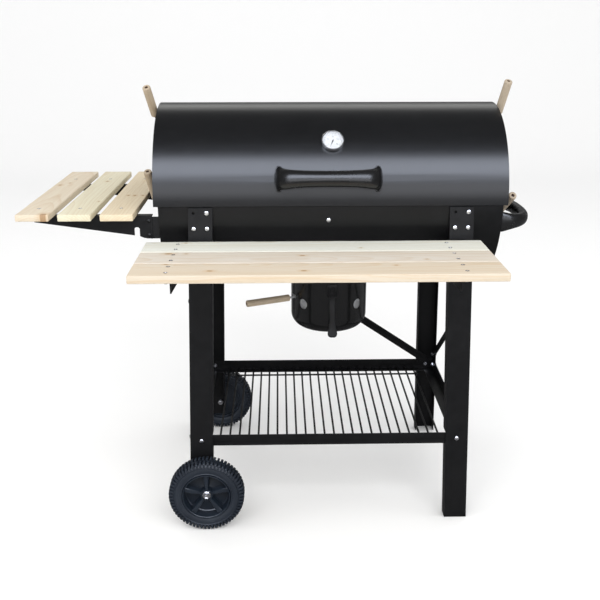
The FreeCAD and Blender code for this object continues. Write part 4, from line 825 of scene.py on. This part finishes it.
def grip(name, node, body, base, d, r, L, seed):
    """Turned dowel with eased ends, a counterbore in its free end and a domed rod tip down in it."""
    m = Mesh()
    rnd = random.Random(seed)
    prof = [(0.0028, 0.0004), (r * 0.86, 0.0), (r * 0.97, 0.0009), (r, 0.0026)]
    for i in range(1, 12):
        z = 0.0026 + (L - 0.0052) * i / 12
        prof.append((r * (1.0 - 0.006 * rnd.random()), z))
    prof += [(r, L - 0.0030), (r * 0.97, L - 0.0012), (r * 0.86, L), (0.0042, L), (0.0038, L - 0.0005)]
    m.lathe(prof, (0, 0, 0), (0, 0, 1), 40, 0)
    m.lathe([(0.0038, L - 0.0005), (0.0038, L - 0.008), (0, L - 0.008)], (0, 0, 0), (0, 0, 1), 24, 1)
    tone = [((0.46, 0.39, 0.30), (0.37, 0.29, 0.21), (0.22, 0.16, 0.10)), ((0.48, 0.40, 0.30), (0.39, 0.30, 0.20), (0.24, 0.16, 0.10))][seed % 2]
    o = m.obj(name, [dowel("beech_" + name, seed, *tone), M["end_bore"]], body, "beech", (node,), angle=42)
    yl = Vector((0, 0, 1)).cross(d).normalized()
    q = Matrix((yl.cross(d), yl, d)).transposed().to_quaternion()
    o.parent = None
    o.matrix_world = Matrix.Translation(base) @ q.to_matrix().to_4x4()
    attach(o, body)
    # the rod's end shows as a small domed tip at the bottom of the counterbore
    t = Mesh()
    dome(t, base + d * (L - 0.0079), d, 0.0030, 0.0022, 20)
    t.obj(name + "_tip", M["zinc_bolts"], body, "zinc_bolts")
    return o


HX_ = (_hi.x - _lo.x) / 2 * 1000
VZ, LZ = 943.0, 690.0
for sx, lv, lg, nm in ((-1, 36.0, 30.0, "left"), (1, 25.0, 54.0, "right")):
    d = lever_dir(sx, lv)
    p0 = W(sx * (HX_ + 0.35 + 7.0), 0, VZ)
    grip("grip_vent_" + nm, "lid_damper_grip_" + nm, "lid_damper_" + nm[0], p0 + d * 0.034, d, 0.0095, 0.0851, 3 + (sx > 0))
    d = lever_dir(sx, lg)
    p0 = W(sx * (HX_ + 4.5), 0, LZ)
    grip("grip_grate_" + nm, "grate_crank_grip_" + nm, "grate_crank_" + nm[0], p0 + d * 0.096, d, 0.0095, 0.086, 7 + (sx > 0))
_a = math.radians(204.0)
ld = Vector((math.cos(_a), math.sin(_a), 0))
grip("grip_bucket", "damper_grip", "bucket_damper", W(8, 0, 515) + ld * 0.113, ld, 0.0085, 0.116, 11)

# ================================================================ thermometer
def on_lid(x, deg, r=None):
    a = math.radians(deg)
    r = LR if r is None else r
    return W(x, -r * math.cos(a), SPLIT * 1000 + r * math.sin(a)), Vector((0, -math.cos(a), math.sin(a)))


tp, tn = on_lid(4.0, 40.6)
tx = Vector((1, 0, 0))
ty = tn.cross(tx) * -1
if ty.z < 0:
    ty = -ty
tm = Mesh()
mm = 0.001
tm.lathe([(0, 0.3 * mm), (12 * mm, 0.3 * mm), (12.4 * mm, 1.2 * mm), (24.6 * mm, 1.3 * mm), (25.6 * mm, 2.2 * mm), (25.8 * mm, 5.5 * mm), (26.0 * mm, 8.0 * mm), (25.7 * mm, 9.4 * mm), (24.9 * mm, 10.2 * mm), (23.9 * mm, 10.25 * mm), (23.2 * mm, 9.7 * mm), (22.9 * mm, 9.0 * mm), (22.9 * mm, 2.6 * mm), (0, 2.6 * mm)], tp, tn, 72)
tm.lathe([(0, 0), (4.0 * mm, 0), (4.0 * mm, 58 * mm), (3.2 * mm, 61 * mm), (0, 62 * mm)], tp + tn * 0.5 * mm, -tn, 24)
tm.lathe([(4.0 * mm, 0), (8.4 * mm, 0), (9.0 * mm, 0.5 * mm), (9.0 * mm, 3.5 * mm), (8.4 * mm, 4.0 * mm), (4.0 * mm, 4.0 * mm)], tp - tn * 1.9 * mm, -tn, 6)
tm.obj("thermo_case", M["bezel"], "lid", "bezel", ("thermometer_case",), angle=30)
dm = Mesh()
dm.lathe([(0, 2.9 * mm), (22.7 * mm, 2.9 * mm), (22.7 * mm, 4.2 * mm), (0, 4.2 * mm)], tp, tn, 64)
dm.obj("thermo_dial", M["dial_white"], "lid", "dial_white", ("thermometer_dial",), angle=30)


def dpt(deg, r, k):
    a = math.radians(deg)
    return tp + tn * (k * mm) + (tx * math.cos(a) + ty * math.sin(a)) * (r * mm)


nm_ = Mesh()
# scale: 26 ticks over 260 degrees, every fifth one long, and a thin ring
for i in range(27):
    a = 220 - 10 * i
    L0 = 15.5 if i % 5 == 0 else 17.8
    wv = 0.55 if i % 5 == 0 else 0.28
    c, s = math.cos(math.radians(a)), math.sin(math.radians(a))
    q = [dpt(a, L0, 4.22), dpt(a, 20.0, 4.22)]
    side = (tx * -s + ty * c) * (wv / 2 * mm)
    nm_.rings([[q[0] - side, q[0] + side, q[1] + side, q[1] - side], [p + tn * 0.12 * mm for p in (q[0] - side, q[0] + side, q[1] + side, q[1] - side)]])
ring = []
for i in range(53):
    a = 220 - 5 * i
    ring.append([dpt(a, 20.3, 4.22), dpt(a, 20.7, 4.22), dpt(a, 20.7, 4.33), dpt(a, 20.3, 4.33)])
nm_.rings(ring)
nm_.obj("thermo_scale", M["needle_black"], "lid", "needle_black", angle=30)
ne = Mesh()
A = 248.0
ne.rings([[dpt(A + 180, 5.5, 5.0), dpt(A + 90, 1.2, 5.0), dpt(A, 16.5, 5.0), dpt(A - 90, 1.2, 5.0)], [dpt(A + 180, 5.5, 5.6), dpt(A + 90, 1.2, 5.6), dpt(A, 16.5, 5.6), dpt(A - 90, 1.2, 5.6)]])
dome(ne, tp + tn * 4.2 * mm, tn, 1.9 * mm, 2.4 * mm, 24)
ne.obj("thermo_needle", M["needle_black"], "lid", "needle_black", ("thermometer_needle",), angle=30)
gm = Mesh()
gm.lathe([(0, 7.7 * mm), (22.7 * mm, 7.7 * mm), (22.75 * mm, 8.6 * mm), (21.0 * mm, 8.9 * mm), (14.0 * mm, 9.25 * mm), (7.0 * mm, 9.4 * mm), (0, 9.45 * mm)], tp, tn, 64)
gm.obj("thermo_glass", M["clear_glass"], "lid", "clear_glass", ("thermometer_glass",), angle=30)

# generic numbers on the dial
for i, txt in enumerate(("0", "100", "200", "300", "400")):
    cu = bpy.data.curves.new("num_" + txt, "FONT")
    cu.body = txt
    cu.size = 0.0036
    cu.align_x, cu.align_y = "CENTER", "CENTER"
    cu.extrude = 0.00005
    o = bpy.data.objects.new("num_" + txt, cu)
    bpy.context.scene.collection.objects.link(o)
    bpy.context.view_layer.update()
    me = bpy.data.meshes.new_from_object(o.evaluated_get(bpy.context.evaluated_depsgraph_get()))
    bpy.data.objects.remove(o)
    me.materials.clear()
    me.materials.append(M["needle_black"])
    ob = bpy.data.objects.new("dial_number_" + txt, me)
    bpy.context.scene.collection.objects.link(ob)
    pos = dpt(220 - 65 * i, 12.4, 4.28)
    rot = Matrix((tx, ty, tn)).transposed().to_4x4()
    ob.matrix_world = Matrix.Translation(pos) @ rot
    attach(ob, "lid")

# ================================================================ wheels
def wheel(nm, sy):
    lo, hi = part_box("wheel_tyre_" + nm)
    c = (lo + hi) / 2
    R, w = (hi.z - lo.z) / 2, (hi.y - lo.y) / 2
    out = Vector((0, sy, 0))
    body = "wheel_" + nm
    ri = 0.0581
    t = Mesh()
    # carcass: groove floor, rounded shoulders, sidewalls with two fine ribs, bead
    g = R - 0.0058
    side = [(g, 0.0), (g, w - 0.0085), (g - 0.0015, w - 0.0055), (g - 0.0040, w - 0.0034), (R - 0.0135, w - 0.0020), (R - 0.0142, w - 0.0006), (R - 0.0154, w - 0.0006), (R - 0.0161, w - 0.0012),
            (R - 0.0200, w - 0.0004), (R - 0.0262, w - 0.0010), (ri + 0.0040, w - 0.0022), (ri + 0.0032, w - 0.0016), (ri + 0.0018, w - 0.0018), (ri + 0.0004, w - 0.0040)]
    prof = [(r, h) for r, h in reversed(side)][:-1] + [(r, -h) for r, h in side]
    prof += [(ri, -w + 0.006), (ri, w - 0.006)]
    t.lathe(prof, c, out, 132, 0, loop=True, xdir=(1, 0, 0))
    # tread lugs in two staggered rows
    N = 60
    x, z = Vector((1, 0, 0)), out.cross(Vector((1, 0, 0)))
    for row in (-1, 1):
        for k in range(N):
            a0 = 2 * math.pi * (k + (0.25 if row > 0 else -0.25)) / N
            rings = []
            for f, e in ((-0.28, 0.0), (-0.22, 0.0006), (0.22, 0.0006), (0.28, 0.0)):
                a = a0 + f * 2 * math.pi / N
                sec = [(R - 0.0070, 0.0016), (R - 0.0006 + e - 0.0006, 0.0022), (R - 0.0006 + e, 0.0034), (R - 0.0006 + e, w - 0.0080), (R - 0.0016 + e, w - 0.0040), (R - 0.0042 + e, w - 0.0012), (R - 0.0118, w - 0.0004), (R - 0.0132, w - 0.0026), (R - 0.0095, w - 0.0090)]
                ring = []
                for r, h in sec:
                    sk = a + (h / w) * 0.012 * row
                    ring.append(c + out * (h * row) + (x * math.cos(sk) + z * math.sin(sk)) * r)
                rings.append(ring)
            t.rings(rings)
    t.obj("tyre_" + nm, M["wheel_tread"], body, "wheel_tread", ("wheel_tyre_" + nm,), angle=34)

    r_ = Mesh()
    # rim: outer lip, barrel, inner lip, web
    rim = [(0.0580, w - 0.0040), (0.0580, w - 0.0016), (0.0574, w - 0.0006), (0.0562, w - 0.0004), (0.0553, w - 0.0012), (0.0545, w - 0.0060), (0.0536, w - 0.0150), (0.0528, -0.0042), (0.0510, -0.0058), (0.0180, -0.0062), (0.0170, -0.0056),
           (0.0160, -0.0020), (0.0152, w - 0.0110), (0.0147, w - 0.0102), (0.0118, w - 0.0100), (0.0112, w - 0.0106), (0.0108, w - 0.0118), (0.0052, w - 0.0120), (0.0052, -w + 0.0035),
           (0.0140, -w + 0.0035), (0.0150, -w + 0.0043), (0.0156, -0.0100), (0.0170, -0.0092), (0.0515, -0.0090), (0.0530, -0.0100), (0.0536, -w + 0.0040), (0.0545, -w + 0.0032), (0.0572, -w + 0.0032), (0.0580, -w + 0.0040)]
    r_.lathe(rim, c, out, 96, 0, loop=True, xdir=(1, 0, 0))
    # five raised spokes, wider at the rim, with sloping flanks
    up = Vector((0, 0, 1))
    across = up.cross(out)
    for k in range(5):
        a = math.radians(90 + 72 * k)
        rd = Vector((1, 0, 0)) * math.cos(a) + up * math.sin(a)
        td = out.cross(rd)
        rings = []
        for i in range(7):
            f = i / 6
            rr = 0.0150 + (0.0538 - 0.0150) * f
            wt, wb = 0.0034 + 0.0032 * f, 0.0058 + 0.0038 * f
            top = (w - 0.0108) + (0.0060) * f
            ring = [(-wb, -0.0066), (-wb * 0.96, 0.0), (-wt, top - 0.0012), (-wt * 0.80, top), (wt * 0.80, top), (wt, top - 0.0012), (wb * 0.96, 0.0), (wb, -0.0066)]
            rings.append([c + rd * rr + td * u + out * h for u, h in ring])
        r_.rings(rings)
    r_.obj("rim_" + nm, M["wheel_plastic"], body, "wheel_plastic", ("wheel_rim_" + nm,), angle=32)
    return c, out, w


for nm, sy in (("front", -1), ("rear", 1)):
    wheel(nm, sy)

# axles: threaded bolt, spacer, inner nut, washer and a plain cap nut with a dark centre
am = Mesh()
alo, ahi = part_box("wheel_axles")
for nm, sy in (("front", -1), ("rear", 1)):
    lo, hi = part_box("wheel_tyre_" + nm)
    c = (lo + hi) / 2
    w = (hi.y - lo.y) / 2
    out = Vector((0, sy, 0))
    far = (ahi.y - c.y) if sy > 0 else (c.y - alo.y)
    yweb = 0.2483
    inner = abs(c.y - OY) - yweb
    am.tube(c - out * (inner + 0.0105), c + out * (w - 0.0045), 0.0049, 24)
    am.lathe([(0.0051, 0), (0.0086, 0), (0.0090, 0.0005), (0.0090, inner - w + 0.0022), (0.0086, inner - w + 0.0027), (0.0051, inner - w + 0.0027)], c - out * (inner - 0.0003), out, 32)
    nut(am, c - out * (inner + 0.0036), -out, 0.015, 0.0062, 0.0049, 0.3)
    am.lathe([(0.0049, w - 0.0104), (0.0097, w - 0.0104), (0.0100, w - 0.0100), (0.0100, w - 0.0091), (0.0097, w - 0.0088), (0.0049, w - 0.0088)], c, out, 40)
    am.lathe([(0.0030, w - 0.0088), (0.0070, w - 0.0088), (0.0074, w - 0.0080), (0.0074, w - 0.0042), (0.0068, w - 0.0030), (0.0056, w - 0.0027), (0.0044, w - 0.0034), (0.0040, w - 0.0066), (0, w - 0.0066)], c, out, 40)
am.obj("axle_set", M["zinc_bolts"], "frame", "zinc_bolts", ("wheel_axles",), angle=30)

# ================================================================ wire rack
wm = Mesh()
wlo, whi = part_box("wire_rack")
rw = 0.0025
zt = whi.z - rw
zl = wlo.z + rw
n_w = 24
x0, x1 = W(-268.8, 0, 0).x, W(-268.8 + 23.6 * 23, 0, 0).x
for k in range(n_w):
    x = x0 + (x1 - x0) * k / (n_w - 1)
    wm.tube((x, wlo.y, zt), (x, whi.y, zt), rw, 12)
yl = [wlo.y + 0.042, whi.y - 0.042]
for y in yl:
    wm.tube((wlo.x, y, zl), (whi.x, y, zl), rw, 12)
    for k in range(n_w):
        x = x0 + (x1 - x0) * k / (n_w - 1)
        # small weld nuggets where the wires cross
        wm.lathe([(0, -0.0016), (0.0019, -0.0011), (0.0027, 0.0), (0.0019, 0.0011), (0, 0.0016)], (x + 0.0002, y, (zt + zl) / 2), (0, 0, 1), 8)
wm.obj("rack_wires", M["black_wire"], "frame", "black_wire", ("wire_rack",), angle=50)

# ================================================================ ash bucket details
blo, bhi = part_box("ash_bucket")
bc = (blo + bhi) / 2
BR = 0.097
# weld bead: collar to drum
cm = Mesh()
pts = []
rnd = random.Random(5)
nb = 150
DR = (_dh.y - _dl.y) / 2
for i in range(nb):
    a = 2 * math.pi * i / nb
    x = bc.x + 0.0930 * math.cos(a)
    y = OY + 0.0930 * math.sin(a)
    z = SPLIT - math.sqrt(DR * DR - (y - OY) ** 2) - 0.0004
    pts.append(Vector((x, y, z)))
rings = []
for i, p in enumerate(pts):
    t = (pts[(i + 1) % nb] - pts[i - 1]).normalized()
    o_ = (p - Vector((bc.x, OY, p.z))).normalized()
    b_ = t.cross(o_).normalized()
    rr = 0.0021 + 0.00035 * math.sin(i * 1.9) + 0.0002 * rnd.random()
    rings.append([p + (o_ * math.cos(2 * math.pi * k / 10) + b_ * math.sin(2 * math.pi * k / 10)) * rr for k in range(10)])
cm.rings(rings, loop=True)
cm.obj("collar_weld", M["frame_paint"], "frame", "black_paint", angle=60)

# pull strap: pad, two rivets, bent tongue with a rounded wide end
slo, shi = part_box("bucket_strap")
bx = (slo.x + shi.x) / 2
yf = OY - math.sqrt(BR * BR - 0.003 ** 2) - 0.0003
st = Mesh()
pad = []
for (x, zz) in superellipse(40, 0.0130, 0.0165, 5.0):
    pad.append((x, zz))
rings = []
for dep, sc in ((0.0, 0.98), (0.0004, 1.0), (0.0026, 1.0), (0.0031, 0.96)):
    ring = []
    for x, zz in pad:
        X = bx + x * sc
        ycurve = OY - math.sqrt(max(1e-9, (BR + 0.0003) ** 2 - (X - bc.x) ** 2))
        ring.append(Vector((X, ycurve - dep, 0.5475 + zz * sc)))
    rings.append(ring)
st.rings(rings)
# tongue: centre line (y offset, z), half width, half thickness
keys = [(-0.0036, 0.5590, 0.0074, 0.0015), (-0.0036, 0.5450, 0.0074, 0.0015), (-0.0040, 0.5300, 0.0074, 0.0015), (-0.0062, 0.5170, 0.0072, 0.0016), (-0.0120, 0.4960, 0.0070, 0.0017), (-0.0200, 0.4760, 0.0072, 0.0018), (-0.0262, 0.4600, 0.0086, 0.0021), (-0.0290, 0.4520, 0.0112, 0.0023), (-0.0315, 0.4455, 0.0118, 0.0023), (-0.0334, 0.4405, 0.0098, 0.0021), (-0.0344, 0.4378, 0.0050, 0.0014)]
rows = catmull(keys, 6)
rings = []
for i, (dy, zz, hw, ht) in enumerate(rows):
    a, b = rows[max(0, i - 1)], rows[min(len(rows) - 1, i + 1)]
    t = Vector((0, b[0] - a[0], b[1] - a[1])).normalized()
    nrm = t.cross(Vector((1, 0, 0))).normalized()
    ctr = Vector((bx, yf + dy, zz))
    rings.append([ctr + Vector((1, 0, 0)) * u + nrm * v for u, v in superellipse(24, hw, ht, 3.2)])
st.rings(rings)
st.obj("strap", M["frame_paint"], "bucket", "black_enamel", ("bucket_strap",), angle=55)
rv = Mesh()
for zz in (0.541, 0.556):
    dome(rv, Vector((bx, yf - 0.0048, zz)), (0, -1, 0), 0.0044, 0.0024)
    rv.tube((bx, yf - 0.0045, zz), (bx, yf + 0.0021, zz), 0.0019, 14)
    dome(rv, Vector((bx, yf + 0.0021, zz)), (0, 1, 0), 0.0040, 0.0012)
rv.obj("strap_rivets", M["frame_paint"], "bucket", "black_enamel")

# ================================================================ floor, light
def floor_paint():
    """Pale paper floor; in reflections it is swapped for a dark grey, a painted shade that keeps its mirror image in
    the paint dim.
    """
    m = bpy.data.materials.new("floor_pale")
    m.use_nodes = True
    t = m.node_tree
    b = t.nodes["Principled BSDF"]
    b.inputs["Roughness"].default_value = 0.7
    b.inputs["Specular IOR Level"].default_value = 0.1
    n = t.nodes.new("ShaderNodeTexNoise")
    n.inputs["Scale"].default_value = 3.0
    r = t.nodes.new("ShaderNodeValToRGB")
    r.color_ramp.elements[0].color = (0.93, 0.93, 0.93, 1)
    r.color_ramp.elements[1].color = (0.95, 0.95, 0.95, 1)
    t.links.new(n.outputs["Fac"], r.inputs[0])
    t.links.new(r.outputs[0], b.inputs["Base Color"])
    # dark grey seen only by glossy rays: painted shade in the floor's reflection
    d = t.nodes.new("ShaderNodeBsdfDiffuse")
    d.inputs["Color"].default_value = (0.16, 0.16, 0.165, 1)
    lp = t.nodes.new("ShaderNodeLightPath")
    mx = t.nodes.new("ShaderNodeMixShader")
    t.links.new(lp.outputs["Is Glossy Ray"], mx.inputs[0])
    t.links.new(b.outputs[0], mx.inputs[1])
    t.links.new(d.outputs[0], mx.inputs[2])
    t.links.new(mx.outputs[0], t.nodes["Material Output"].inputs[0])
    return m


# floor that curves up far behind the object
sweep = [(-9.0, 0.0), (4.5, 0.0)]
for k in range(1, 13):
    a = math.radians(90 * k / 12)
    sweep.append((4.5 + 2.2 * math.sin(a), 2.2 - 2.2 * math.cos(a)))
sweep.append((6.7, 7.0))
fl = Mesh()
fl.rings([[Vector((x, y, z - 0.0006)) for y, z in sweep] for x in (-11.0, 11.0)], cap0=False, cap1=False, closed=False)
me = bpy.data.meshes.new("floor")
me.from_pydata([tuple(p) for p in fl.v], [], fl.f)
me.materials.append(floor_paint())
me.shade_smooth()
floor = bpy.data.objects.new("floor", me)
bpy.context.scene.collection.objects.link(floor)

world = bpy.data.worlds.new("world")
bpy.context.scene.world = world
world.use_nodes = True
wt = world.node_tree
bg = wt.nodes["Background"]
bg.inputs[0].default_value = (1.0, 1.0, 1.0, 1)
bg.inputs[1].default_value = 0.95
dim = wt.nodes.new("ShaderNodeBackground")
dim.inputs[0].default_value = (0.97, 0.98, 1.0, 1)
dim.inputs[1].default_value = 0.13
lp = wt.nodes.new("ShaderNodeLightPath")
mx = wt.nodes.new("ShaderNodeMixShader")
wt.links.new(lp.outputs["Is Glossy Ray"], mx.inputs[0])
wt.links.new(bg.outputs[0], mx.inputs[1])
wt.links.new(dim.outputs[0], mx.inputs[2])
wt.links.new(mx.outputs[0], wt.nodes["World Output"].inputs[0])


def area(name, loc, target, sx, sy, power, col=(1, 1, 1), glossy=True, diffuse=True):
    d = bpy.data.lights.new(name, "AREA")
    d.shape = "RECTANGLE"
    d.size, d.size_y, d.energy, d.color = sx, sy, power, col
    o = bpy.data.objects.new(name, d)
    bpy.context.scene.collection.objects.link(o)
    o.location = loc
    o.rotation_euler = (Vector(target) - Vector(loc)).to_track_quat("-Z", "Y").to_euler()
    o.visible_glossy, o.visible_diffuse = glossy, diffuse
    return o


tgt = (0.1, 0.1, 0.85)
# long soft box in front, above the camera: it makes the pale band on the lid
area("key_gloss", (0.1, -2.46, 2.70), tgt, 6.4, 1.45, 235.0, (0.80, 0.86, 1.0), diffuse=False)
area("key", (0.1, -2.50, 2.62), tgt, 4.4, 1.20, 62.0, (1.0, 1.0, 0.99), glossy=False)
# lower, wider and weaker front box
area("front_gloss", (0.1, -3.2, 1.30), (0.1, 0.1, 0.9), 7.0, 1.0, 60.0, (0.92, 0.94, 1.0), diffuse=False)
area("fill_left", (-3.6, -0.8, 2.2), (0.1, 0.1, 0.6), 2.2, 2.2, 26.0, glossy=False)
area("fill_right", (3.8, -0.6, 2.2), (0.1, 0.1, 0.6), 2.2, 2.2, 22.0, glossy=False)
area("back_gloss", (0.1, 3.4, 3.0), (0.1, 0.1, 0.9), 5.0, 1.2, 26.0, (1.0, 1.0, 0.97), diffuse=False)
